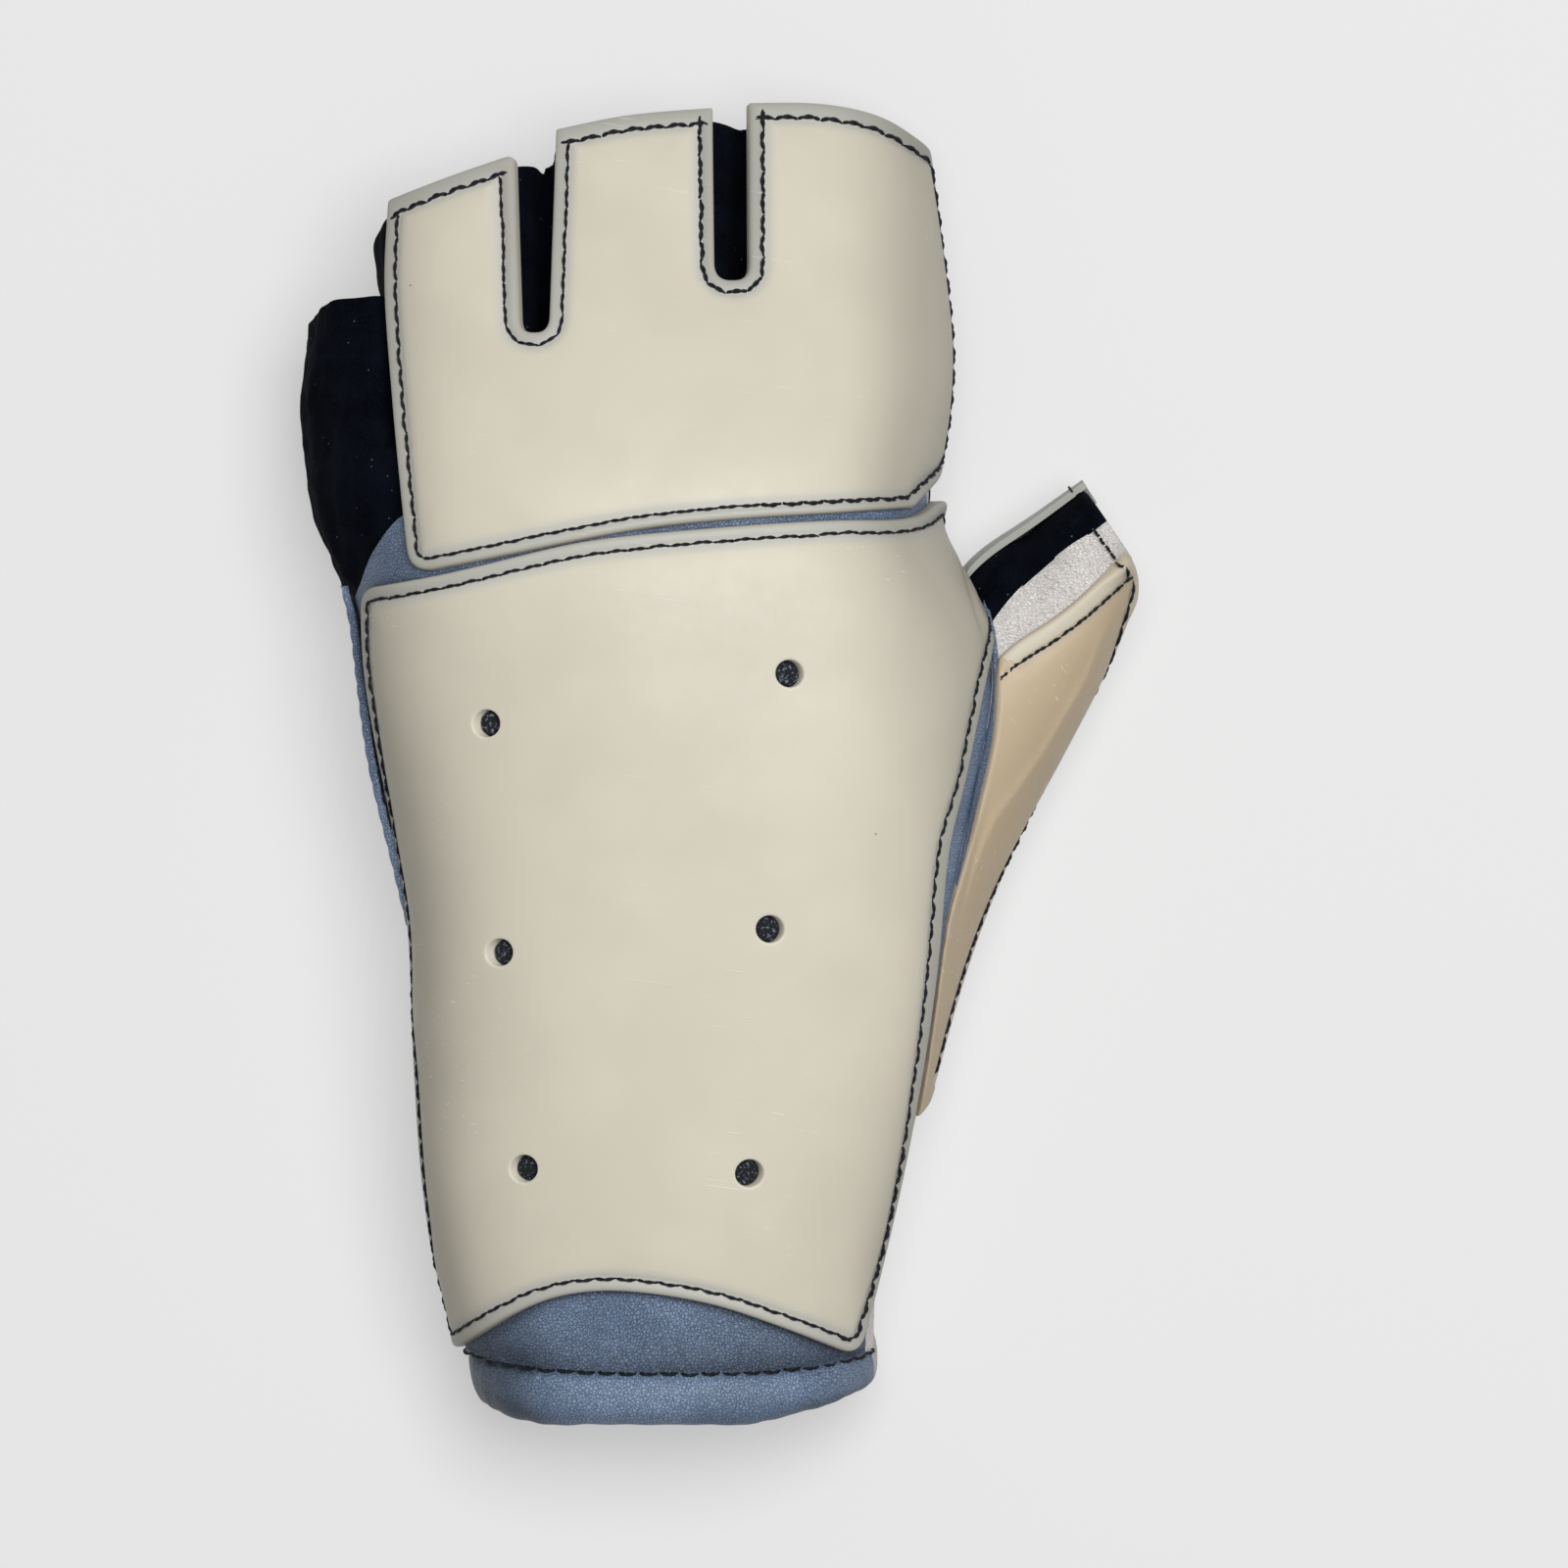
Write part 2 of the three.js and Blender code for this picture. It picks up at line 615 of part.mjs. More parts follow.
// A layer over the hand's back, inside an outline, made from the shared rings from one to another. Its facets and the
// stretches of its outline are as many times longer as coarse says.
function backLayer(rows, first, last, inner, outer, coarse = 1) {
  const stepDeg = STEP_DEG * coarse;
  const reach = Math.ceil(LAYER_REACH_DEG / stepDeg) * stepDeg;
  const face = (u, w, out) => {
    return handPoint(radians(mix(-reach, reach, u)), RINGS[Math.round(mix(first, last, w))], out);
  };
  const across = (2 * reach) / stepDeg + 1;
  const cutter = backCutter(rows, OUTLINE_STEP * coarse, PLATE + GAP);
  return sheet(face, across, last - first + 1, inner, outer).intersect(cutter);
}

function thumbPlate() {
  const skin = (out, beyond) => thumbSolid(out, beyond).add(handSolid(out, RINGS.slice(1, 11), -5));
  const points = outlinePoints(THUMB_PLATE_OUTLINE, THUMB_OUTLINE_STEP);
  const outline = prism(points, THUMB_PLATE_FLOOR, 60, THUMB_PLATE_FLOOR_SLOPE);
  return skin(PLATE + GAP, 0).subtract(skin(GAP, 3)).intersect(outline);
}

function thumbInnerPlate() {
  const { fromDeg, toDeg, ring } = INNER_PLATE;
  return thumbPanel(fromDeg, toDeg, ring, GAP, GAP + PLATE);
}

function cuffRoll() {
  const { station, half, proud, inside } = ROLL;
  const middle = (proud - inside) / 2;
  const reach = (proud + inside) / 2;
  const point = (around, along) =>
    handPoint(along, station + half * Math.sin(around), middle + reach * Math.cos(around));
  return torus(point, 8, 28);
}

// The seam edge on the little finger's side: a strip that stands out from the widest line of the hand.
function sideWelt() {
  const stations = [WELT[0][WELT_COLUMNS.station], WELT.at(-1)[WELT_COLUMNS.station]];
  const ring = (angle, share) => {
    const station = mix(...stations, share);
    const width = along(WELT, station, WELT_COLUMNS.width);
    const out = WELT_GAP + width * (0.5 + 0.5 * power(Math.cos(angle), 0.6));
    const seat = handPoint(radians(LEFT_SEAM_DEG), station, out);
    return seat.setZ(seat.z + (WELT_THICKNESS / 2) * power(Math.sin(angle), 0.6));
  };
  return tube(ring, 8, 14);
}

const COLOURS = {
  plate: { color: 0xd5cfbe, roughness: 0.32, metalness: 0 },
  leather: { color: 0x5e6d82, roughness: 0.62, metalness: 0 },
  white_leather: { color: 0xc4beba, roughness: 0.65, metalness: 0 },
  fabric: { color: 0x0b0e15, roughness: 0.9, metalness: 0 },
  lining: { color: 0x14171e, roughness: 0.85, metalness: 0 },
};

function meshOf(solid, name, finish) {
  const { vertProperties, triVerts } = solid.getMesh();
  const geometry = new THREE.BufferGeometry();
  geometry.setAttribute("position", new THREE.BufferAttribute(vertProperties, 3));
  geometry.setIndex(new THREE.BufferAttribute(triVerts, 1));
  geometry.computeVertexNormals();
  const mesh = new THREE.Mesh(geometry, new THREE.MeshStandardMaterial(COLOURS[finish]));
  mesh.name = name;
  return mesh;
}

const vents = ventRods();
const thumbHollow = thumbSolid(-LEATHER);
const handClear = handSolid(GAP, RINGS, -5);
const underThumbDeg = THUMB_UNDER_SPLIT_DEG - 360;

const backPanel = handPanel(LEFT_SEAM_DEG, RIGHT_SEAM_DEG).subtract(vents).subtract(thumbHollow);
const palmPanel = handPanel(RIGHT_SEAM_DEG, 360 + LEFT_SEAM_DEG).subtract(thumbHollow);
const thumbLeather = thumbPanel(underThumbDeg, THUMB_SPLIT_DEG, THUMB_WALL_RING, -LEATHER, 0);
const thumbSleeve = thumbPanel(THUMB_SPLIT_DEG, THUMB_UNDER_SPLIT_DEG, THUMB_WALL_RING, -FABRIC, 0);
const handPlate = backLayer(HAND_OUTLINE, 0, 10, GAP, GAP + PLATE).subtract(vents);
const knucklePlate = backLayer(KNUCKLE_OUTLINE, 8, 14, GAP, GAP + PLATE);
const underLeather = -LEATHER - GAP;
const ventLining = backLayer(LINING_OUTLINE, 1, 9, underLeather - LINING, underLeather, 2);

const group = new THREE.Group();
group.add(
  meshOf(backPanel, "back_panel", "leather"),
  meshOf(palmPanel, "palm_panel", "white_leather"),
  meshOf(sideWelt(), "side_welt", "leather"),
  meshOf(cuffRoll(), "cuff_roll", "leather"),
  meshOf(handPlate, "hand_plate", "plate"),
  meshOf(knucklePlate, "knuckle_plate", "plate"),
  meshOf(largest(thumbPlate()), "thumb_plate", "plate"),
  meshOf(thumbInnerPlate().subtract(handClear), "thumb_inner_plate", "plate"),
  meshOf(thumbSleeve.subtract(handClear), "thumb_sleeve", "fabric"),
  meshOf(thumbLeather.subtract(handClear), "thumb_leather", "white_leather"),
  meshOf(ventLining, "vent_lining", "lining"),
  ...sleeves().map(({ name, solid }) => meshOf(largest(solid), name, "fabric")),
);

export default group;
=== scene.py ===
"""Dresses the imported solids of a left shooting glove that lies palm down: moulded plates with stitched rims over
grained leather, half-finger fabric sleeves and a padded cuff. Lengths here are millimetres until a mesh is made."""

import bmesh
import bpy
import numpy as np
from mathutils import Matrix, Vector
from mathutils.geometry import delaunay_2d_cdt


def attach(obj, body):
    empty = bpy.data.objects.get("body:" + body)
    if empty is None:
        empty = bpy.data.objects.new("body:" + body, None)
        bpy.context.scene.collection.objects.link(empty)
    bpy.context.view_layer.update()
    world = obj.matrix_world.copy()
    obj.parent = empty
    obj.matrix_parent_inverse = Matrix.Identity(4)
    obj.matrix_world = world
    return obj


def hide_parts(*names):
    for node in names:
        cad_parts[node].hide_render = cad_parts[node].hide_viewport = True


MM = 0.001
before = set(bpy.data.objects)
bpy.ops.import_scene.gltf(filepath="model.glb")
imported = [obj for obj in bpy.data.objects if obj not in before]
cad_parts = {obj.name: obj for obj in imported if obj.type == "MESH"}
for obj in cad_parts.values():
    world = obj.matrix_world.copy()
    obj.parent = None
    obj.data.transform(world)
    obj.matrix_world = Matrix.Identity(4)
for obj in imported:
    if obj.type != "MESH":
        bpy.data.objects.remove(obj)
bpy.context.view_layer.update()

# Walls and clearances, as in the solids.
GAP = 0.3
LEATHER = 1.5
PLATE = 2.0
VENT_RADIUS = 2.5
BACK_POWER = 0.83
PALM_POWER = 0.6
FINGER_POWER = 0.6

# The hand's sections: station, middle, left, right, top, side, bottom, lean.
HAND = np.array([
    [-126, -8.6, 36.4, 36.0, 37.0, 19.0, -1.0, 0.3],
    [-116, -8.6, 37.9, 36.8, 38.8, 19.5, -2.0, 0.3],
    [-106, -9.0, 39.2, 37.2, 41.0, 20.0, -3.0, 0.28],
    [-94, -10.0, 41.2, 39.3, 43.5, 21.0, -3.0, 0.22],
    [-76, -9.8, 43.8, 43.8, 46.5, 22.0, -3.0, 0.12],
    [-58, -9.2, 45.4, 47.2, 49.0, 23.0, -3.0, 0.05],
    [-40, -8.6, 46.2, 50.0, 51.0, 24.0, -3.0, 0],
    [-22, -8.5, 48.2, 52.8, 53.0, 24.5, -3.0, 0],
    [-4, -8.5, 51.8, 56.0, 55.0, 25.0, -3.0, 0],
    [14, -8.8, 56.4, 59.3, 56.2, 25.0, -3.0, -0.03],
    [32, -9.0, 58.0, 55.4, 57.0, 25.0, -3.0, -0.1],
    [46, -9.0, 63.2, 47.8, 56.0, 24.5, -3.0, -0.2],
    [60, -9.0, 66.6, 47.3, 52.8, 24.0, -1.0, -0.3],
    [80, -9.0, 67.8, 50.0, 46.0, 22.0, 4.0, -0.36],
    [100, -10.0, 67.0, 48.9, 39.0, 20.0, 4.0, -0.36],
    [124, -10.6, 65.0, 46.2, 31.0, 17.0, 3.0, -0.36],
])
# Angle in degrees round the hand, and the station where the leather ends there.
LEATHER_END = np.array([
    [-180, 42], [-130, 35], [-95, 32.5], [-75, 35], [-60, 42], [-45, 48], [0, 48], [25, 49.5],
    [45, 55], [58, 58], [72, 60], [84, 60], [94, 57], [112, 50], [140, 46], [180, 42],
])
SEAM_DEG = 84
# Station, and the angles in degrees where the leather's back and palm meet on the two sides.
SIDE_SEAMS = np.array([[-118, -84, 73], [-92, -84, 75], [-62, -84, 80], [-45, -84, 84], [16, -84, 84], [26, -99, 84],
                       [60, -99, 84]])

# Finger sleeves: station, and the x where the sleeve begins and ends.
FINGERS = {
    "pinky_sleeve": [[40, -68.6, -52.0], [60, -75.6, -56.6], [75, -77.0, -57.4], [88, -75.6, -58.4]],
    "ring_sleeve": [[50, -55.4, -32.4], [80, -56.6, -32.4], [92, -61.6, -32.6], [102, -63.6, -32.8],
                    [110, -63.0, -33.0]],
    "middle_sleeve": [[50, -32.0, 3.6], [90, -32.0, 3.6], [117.5, -30.4, 3.4]],
    "index_sleeve": [[50, 4.0, 37.6], [64, 4.0, 38.6], [80, 4.0, 40.4], [100, 4.0, 38.4], [120, 4.6, 35.8]],
}

# Plate outlines seen from above: x, y, the radius of a corner or 0, and how far inside the edge the seam runs that
# starts at a corner. Between corners that distance may be given anew, and 0 leaves it out.
KNUCKLE_OUTLINE = [
    [-61.0, 103.4, 0.8, 3.2], [-50.0, 107.7, 0, 0],
    [-37.8, 111.9, 2.0, 2.6],
    [-36.7, 79.0, 2.8, 2.6],
    [-31.5, 79.0, 2.8, 2.6],
    [-30.2, 116.4, 0.4, 3.2], [-17.0, 119.1, 0, 0],
    [-1.4, 120.4, 0.4, 2.6],
    [-1.0, 88.6, 3.2, 2.6],
    [5.3, 88.6, 3.2, 2.6],
    [5.2, 121.3, 0.4, 3.2], [18.9, 121.2, 0, 0], [30.0, 118.7, 0, 0],
    [38.2, 112.9, 2.5, 2.8], [41.0, 97.8, 0, 0], [43.3, 80.0, 0, 0], [43.7, 64.0, 0, 0], [41.6, 55.0, 0, 0],
    [35.4, 46.8, 0.8, 2.2], [20.7, 45.8, 0, 0], [2.7, 44.7, 0, 0], [-15.3, 42.8, 0, 0], [-42.3, 37.5, 0, 0],
    [-56.9, 34.6, 5.0, 2.5], [-58.6, 50.0, 0, 0], [-60.3, 68.0, 0, 0], [-61.7, 88.0, 0, 0],
]
HAND_OUTLINE = [
    [-65.9, 31.9, 4.5, 2.8], [-51.3, 34.5, 0, 0], [-42.3, 36.6, 0, 0], [-24.3, 40.7, 0, 0], [2.7, 43.4, 0, 0],
    [20.7, 44.5, 0, 0], [34.6, 44.9, 0, 0],
    [40.8, 48.6, 1.6, 2.8], [47.0, 39.3, 0, 2.8], [50.2, 31.5, 0, 3.0], [50.0, 23.5, 0, 3.2], [48.3, 14.1, 0, 2.8],
    [44.7, -4.0, 0, 2.5], [41.8, -16.0, 0, 3.2], [40.1, -34.5, 0, 3.5], [37.9, -51.2, 0, 3.3], [34.2, -71.9, 0, 2.8],
    [29.0, -95.0, 0, 2.7],
    [25.3, -109.2, 4.5, 2.5], [9.0, -102.9, 0, 0], [-3.1, -99.1, 0, 0], [-20.9, -96.9, 0, 0], [-32.8, -98.9, 0, 0],
    [-49.0, -107.8, 2.5, 2.8], [-52.2, -91.9, 0, 0], [-54.6, -75.3, 0, 0], [-56.0, -53.4, 0, 0],
    [-57.0, -30.3, 0, 0], [-60.0, -11.3, 0, 0], [-62.9, 3.0, 0, 0], [-65.3, 18.1, 0, 0],
]
VENTS = np.array([[-42.2, 7.2], [12.4, 16.3], [-39.8, -34.8], [8.8, -30.5], [-35.5, -74.4], [5.0, -75.2]])

# The thumb's sections: inner x and y, outer x and y, centre height, half height. The first lies past the end of the
# solids, where the plate's tail runs on.
THUMB = np.array([
    [24.0, -74.0, 33.0, -86.0, 19.0, 7.0],
    [24.0, -52.0, 35.2, -66.0, 19.0, 8.0],
    [24.0, -32.0, 40.4, -47.0, 17.5, 13.5],
    [27.0, 0.0, 47.2, -27.0, 16.0, 15.6],
    [35.0, 22.0, 54.1, -11.0, 15.6, 15.6],
    [46.1, 36.1, 62.4, 5.0, 15.0, 15.0],
    [56.3, 43.0, 71.0, 21.1, 14.8, 14.2],
    [66.0, 49.8, 75.6, 35.9, 15.6, 12.6],
])
# The thumb plate's outline on the thumb: place among the sections, angle in degrees from the outer side, corner
# radius, and the seam's distance from the edge.
THUMB_OUTLINE = [
    [3.72, 97, 1.0, 3.0], [4.25, 90.5, 0, 0], [4.7, 84.5, 0, 0], [5.22, 76.5, 0, 0],
    [5.8, 63.5, 0, 0],
    [6.10, 52, 2.5, 2.0], [6.08, 34, 0, 0],
    [6.00, 17, 4.0, 3.2], [5.6, 14, 0, 0], [5.25, 6, 0, 0], [4.95, -8, 0, 0], [4.5, -20, 0, 0], [3.7, -20, 0, 0],
    [3.0, -4, 0, 0], [2.4, 4, 0, 0], [1.8, 10, 0, 0], [1.0, 16, 0, 0], [0.5, 15, 0, 0],
    [0.28, 20, 2.5, 0],
    [-0.2, 78, 1.5, 0], [0.06, 89, 0, 0], [0.52, 89.5, 0, 0], [0.96, 88, 0, 0], [1.16, 93, 0, 0], [1.30, 95, 0, 0],
    [1.64, 82, 0, 0], [2.02, 71, 0, 0], [2.36, 68, 0, 0], [2.72, 69.5, 0, 0], [3.06, 75, 0, 0], [3.32, 82.5, 0, 0],
    [3.46, 92, 0, 0],
]
# Place among the thumb's sections, and the angle there of the seam between its white leather and its fabric.
THUMB_SPLIT = np.array([[0, 112], [4.0, 114.5], [4.44, 115], [5.0, 113.5], [5.46, 108.5], [5.84, 100.5], [6.1, 95]])

# The cuff roll: its station, half its width, how far it stands out of and into the hand's form, and how much less
# proud it is on the left and on the right.
ROLL = {"station": -116.9, "half": 4.9, "proud": 2.7, "inside": 4.2, "left": 3.0, "right": 1.8}
# The side's seam edge: station and width.
WELT = np.array([[-36, 0.8], [-22, 2.5], [-4, 3.3], [14, 1.5], [26, 1.3], [32, 1.3], [36, 1.0]])
WELT_THICK = 1.3
# Stations of the seam between roll and leather, and of the leather's hidden rear edge under the roll.
CUFF_SEAM = -112.5
LEATHER_REAR = CUFF_SEAM - 1


def through_rows(rows, places):
    """A table's columns at places: between two rows a cubic whose slope at a row is that of the line through the rows
    on either side. Beyond the ends the end rows hold."""
    rows = np.asarray(rows, float)
    keys, values = rows[:, 0], rows[:, 1:]
    slopes = np.empty_like(values)
    slopes[1:-1] = (values[2:] - values[:-2]) / (keys[2:] - keys[:-2])[:, None]
    slopes[0] = (values[1] - values[0]) / (keys[1] - keys[0])
    slopes[-1] = (values[-1] - values[-2]) / (keys[-1] - keys[-2])
    i = np.clip(np.searchsorted(keys, places, side="right") - 1, 0, len(keys) - 2)
    step = (keys[i + 1] - keys[i])[..., None]
    f = np.clip((places - keys[i])[..., None] / step, 0, 1)
    return ((2 * f**3 - 3 * f**2 + 1) * values[i] + (f**3 - 2 * f**2 + f) * step * slopes[i]
            + (3 * f**2 - 2 * f**3) * values[i + 1] + (f**3 - f**2) * step * slopes[i + 1])


def blurred(values, spread):
    """Rows averaged with their neighbours under a bell curve of so many rows' spread. Past each end the rows go on,
    turned about the end row, so both ends stay where they are."""
    reach = min(int(3 * spread) + 1, len(values) - 1)
    if reach < 1:
        return values
    bell = np.exp(-0.5 * (np.arange(-reach, reach + 1) / spread) ** 2)
    bell /= bell.sum()
    before = 2 * values[0] - values[reach:0:-1]
    after = 2 * values[-1] - values[-2:-reach - 2:-1]
    padded = np.concatenate([before, values, after])
    return np.stack([np.convolve(column, bell, "valid") for column in padded.T], axis=-1)


def signed_power(value, exponent):
    """The value's size to a power, with the value's sign."""
    return np.sign(value) * np.abs(value) ** exponent


def eased(value, low, high):
    """0 below low and 1 above high, with a smooth turn between."""
    f = np.clip((value - low) / (high - low), 0, 1)
    return f * f * (3 - 2 * f)


def falloff(distance, reach):
    """A bell curve: 1 at distance 0, and 0.37 at the reach."""
    return np.exp(-((distance / reach) ** 2))


def unit(vectors):
    """Vectors divided by their lengths."""
    return vectors / np.maximum(np.linalg.norm(vectors, axis=-1, keepdims=True), 1e-9)


def lengths_along(points):
    """Distance from the first point to each point along a line of points."""
    return np.concatenate([[0], np.cumsum(np.linalg.norm(np.diff(points, axis=0), axis=1))])


def at_lengths(points, lengths):
    """Points of a line at distances along it, straight between its points."""
    run = lengths_along(points)
    return np.stack([np.interp(lengths, run, column) for column in points.T], axis=-1)


def ripple(places, wave, seed, waves=7):
    """Gentle random waves at places, about -1 to 1: a sum of sines in random directions, whose lengths spread round
    the one given."""
    draw = np.random.default_rng(seed)
    ways = unit(draw.normal(size=(waves, places.shape[-1])))
    rates = 2 * np.pi / (wave * draw.uniform(0.7, 1.6, waves))
    turns = draw.uniform(0, 2 * np.pi, waves)
    return np.sin((places @ ways.T) * rates + turns).sum(axis=-1) / np.sqrt(waves) * 0.8


STATIONS = np.arange(-150.0, 150.5, 0.5)
HAND_BLUR = 11
HAND_CURVES = blurred(through_rows(HAND, STATIONS), HAND_BLUR)


def hand_sizes(station):
    """The hand's section at a station: middle, left, right, top, side, bottom and lean."""
    return [np.interp(station, STATIONS, column) for column in HAND_CURVES.T]


def hand_point(angle, station, out=0.0):
    """A point of the hand's form. Each section is an ellipse squared off by a power of the sine and cosine of the
    angle from the ridge, with its own half widths, leaning along Y by a share of the depth below the ridge, and cut
    flat on the surface. out is the distance outside the leather."""
    middle, left, right, top, side, bottom, lean = hand_sizes(station)
    s, c = np.sin(angle), np.cos(angle)
    half = np.where(s < 0, left, right) + out
    x = middle + half * signed_power(s, np.where(c > 0, BACK_POWER, PALM_POWER))
    up = side + (top - side + out) * np.maximum(c, 0) ** BACK_POWER
    down = side - (side - bottom + out) * np.maximum(-c, 0) ** PALM_POWER
    z = np.maximum(np.where(c > 0, up, down), np.maximum(-out, 0))
    return np.stack([x, station + lean * (top - z), z + 0 * x], axis=-1)


# The plates' outlines are drawn this far out from the leather, where their rounded rims end.
OUTLINE_OUT = PLATE + GAP - 0.7
NEARLY_ONE = 0.9995


def on_back(points):
    """The angle and station of the back's points that lie at x, y seen from above, found by repeating: the height at
    x gives the lean, and the lean gives the station. Third is how far x lies past the widest line."""
    x, y = points.T
    station = y
    for _ in range(24):
        middle, left, right, top, side, _bottom, lean = hand_sizes(station)
        half = np.where(x < middle, left, right) + OUTLINE_OUT
        share = np.clip((x - middle) / half, -NEARLY_ONE, NEARLY_ONE)
        angle = np.arcsin(signed_power(share, 1 / BACK_POWER))
        z = side + (top - side + OUTLINE_OUT) * np.cos(angle) ** BACK_POWER
        station = y - lean * (top - z)
    return angle, station, np.sign(x - middle) * np.maximum(np.abs(x - middle) - half, 0)


def station_of(points, rounds=4):
    """The station along the hand of points in space, found by repeating."""
    _x, y, z = np.moveaxis(points, -1, 0)
    station = y
    for _ in range(rounds):
        _middle, _left, _right, top, _side, _bottom, lean = hand_sizes(station)
        station = y - lean * (top - z)
    return station


SOFT_TURN = 0.05


def outside_hand(points, out):
    """Points pushed out of the hand's form where they are inside it: each is scaled from the section's centre until
    its squared-off radius is at least 1, with a soft turn between the two."""
    x, y, z = np.moveaxis(points, -1, 0)
    middle, left, right, top, side, bottom, _lean = hand_sizes(station_of(points, 3))
    across = (x - middle) / (np.where(x < middle, left, right) + out)
    rise = np.where(z > side, (z - side) / (top - side + out), (z - side) / (side - bottom + out))
    sharp = np.where(z > side, 2 / BACK_POWER, 2 / PALM_POWER)
    radius = np.maximum((np.abs(across) ** sharp + np.abs(rise) ** sharp) ** (1 / sharp), SOFT_TURN)
    grow = (radius + 1 + np.sqrt((radius - 1) ** 2 + SOFT_TURN**2)) / 2 / radius
    return np.stack([middle + (x - middle) * grow, y, side + (z - side) * grow], axis=-1)


# The thumb's sections are numbered from -1, and past the last one the thumb goes straight on for one place more.
THUMB_STEP = 0.02
THUMB_BLUR = 14
THUMB_POWER = 0.9
THUMB_PLACES = np.arange(-1.0, 6.0001, THUMB_STEP)
THUMB_ROWS = np.column_stack([np.arange(-1, len(THUMB) - 1), THUMB])
THUMB_CURVES = blurred(through_rows(THUMB_ROWS, THUMB_PLACES), THUMB_BLUR)
THUMB_PLACES = np.append(THUMB_PLACES, 7.0)
THUMB_CURVES = np.vstack([THUMB_CURVES, THUMB_CURVES[-1] + (THUMB_CURVES[-1] - THUMB_CURVES[-2]) / THUMB_STEP])


def thumb_point(angle, place, out=0.0):
    """A point of the thumb's form: each section is a squared-off ellipse between its inner and outer points, round a
    centre height, by the angle from the outer side over the top."""
    inner_x, inner_y, outer_x, outer_y, height, half = [np.interp(place, THUMB_PLACES, c) for c in THUMB_CURVES.T]
    reach = np.stack([outer_x - inner_x, outer_y - inner_y], axis=-1) / 2
    middle = np.stack([outer_x + inner_x, outer_y + inner_y], axis=-1) / 2
    size = np.linalg.norm(reach, axis=-1)
    share = signed_power(np.cos(angle), THUMB_POWER) * (size + out) / size
    z = np.maximum(height + (half + out) * signed_power(np.sin(angle), THUMB_POWER), np.maximum(-out, 0))
    flat = middle + reach * share[..., None]
    return np.concatenate([flat, np.broadcast_to(z, share.shape)[..., None]], axis=-1)


def thumb_skin(angle, place, out=0.0):
    """The thumb's form where it stands outside the hand, and the hand's own form where it doesn't."""
    return outside_hand(thumb_point(angle, place, out), out)


# The thumb plate: how deep it is sunk into the hand's leather. Its bell at the tip: height, place, reach along and
# reach round in radians. Its crease: height, the place and angle it runs through, and its reach above and below.
PLATE_SUNK = 1.3
BELL = {"height": 1.5, "place": 5.75, "along": 0.45, "round": 0.7}
CREASE_HEIGHT = 0.6
CREASE_LINE = np.array([[1.0, 0.98], [2.1, 0.97], [2.8, 0.92], [3.2, 0.81], [3.7, 0.72], [4.6, 0.72], [5.0, 0.82]])
CREASE_ABOVE, CREASE_BELOW = 0.06, 0.2
CREASE_FROM, CREASE_TO = 1.0, 5.4


def flared(angle, place, out=0.0):
    """The thumb's form under its plate, which bells out by a soft bump at the tip's outer side and has a low crease
    along its upper half. Next to the hand it runs on over the hand's side, sunk a little into the leather."""
    bell = BELL["height"] * falloff(place - BELL["place"], BELL["along"]) * falloff(angle, BELL["round"])
    line = np.interp(place, *CREASE_LINE.T)
    crease = CREASE_HEIGHT * np.exp(-np.abs(angle - line) / np.where(angle > line, CREASE_ABOVE, CREASE_BELOW))
    crease = crease * np.clip(CREASE_TO - place, 0, 1) * np.clip(place - CREASE_FROM, 0, 1)
    return outside_hand(thumb_point(angle, place, out + bell + crease), out - PLATE_SUNK)


class Map:
    """A flat map of a surface of two parameters, a across and w along. u is the true length across from a = 0, with
    the sign of turn, and v is a given length along."""

    STEP = 0.5

    def __init__(self, surface, a, w, v, turn=1):
        self.surface, self.a, self.w, self.v, self.turn = surface, a, w, v, turn
        grid = surface(a[None, :], w[:, None], 1.0)
        run = np.cumsum(np.linalg.norm(np.diff(grid, axis=1), axis=2), axis=1)
        run = np.concatenate([np.zeros((len(w), 1)), run], axis=1)
        zero = np.argmin(np.abs(a))
        self.across = run - run[:, zero:zero + 1]
        self.u = np.arange(self.across.min(), self.across.max(), self.STEP)
        self.back = np.stack([np.interp(self.u, row, a) for row in self.across])

    @staticmethod
    def _fetch(table, row, column):
        """The table between its cells, straight both ways."""
        row = np.clip(row, 0, table.shape[0] - 1.001)
        column = np.clip(column, 0, table.shape[1] - 1.001)
        i, j = row.astype(int), column.astype(int)
        f, g = row - i, column - j
        return ((1 - f) * ((1 - g) * table[i, j] + g * table[i, j + 1])
                + f * ((1 - g) * table[i + 1, j] + g * table[i + 1, j + 1]))

    def to_map(self, a, w):
        """The map's u and v of surface parameters."""
        row = np.interp(w, self.w, np.arange(len(self.w)))
        column = (a - self.a[0]) / (self.a[1] - self.a[0])
        return np.stack([self.turn * self._fetch(self.across, row, column), np.interp(w, self.w, self.v)], axis=-1)

    def place(self, uv, out=0.0):
        """Points in space of the map's points, at a distance out from the surface."""
        row = np.interp(uv[..., 1], self.v, np.arange(len(self.v)))
        column = (self.turn * uv[..., 0] - self.u[0]) / self.STEP
        return self.surface(self._fetch(self.back, row, column), np.interp(uv[..., 1], self.v, self.w), out)

    def normal(self, uv, out=0.0):
        """Outward directions: across the slopes of the surface along u and v."""
        du, dv = np.array([0.5, 0]), np.array([0, 0.5])
        along_u = self.place(uv + du, out) - self.place(uv - du, out)
        along_v = self.place(uv + dv, out) - self.place(uv - dv, out)
        return unit(np.cross(along_u, along_v))


DEG = np.pi / 180
MAP_STATIONS = np.arange(-135.0, 140.5, 1.0)
HAND_MAP = Map(hand_point, np.arange(-110, 110.2, 0.25) * DEG, MAP_STATIONS, MAP_STATIONS)
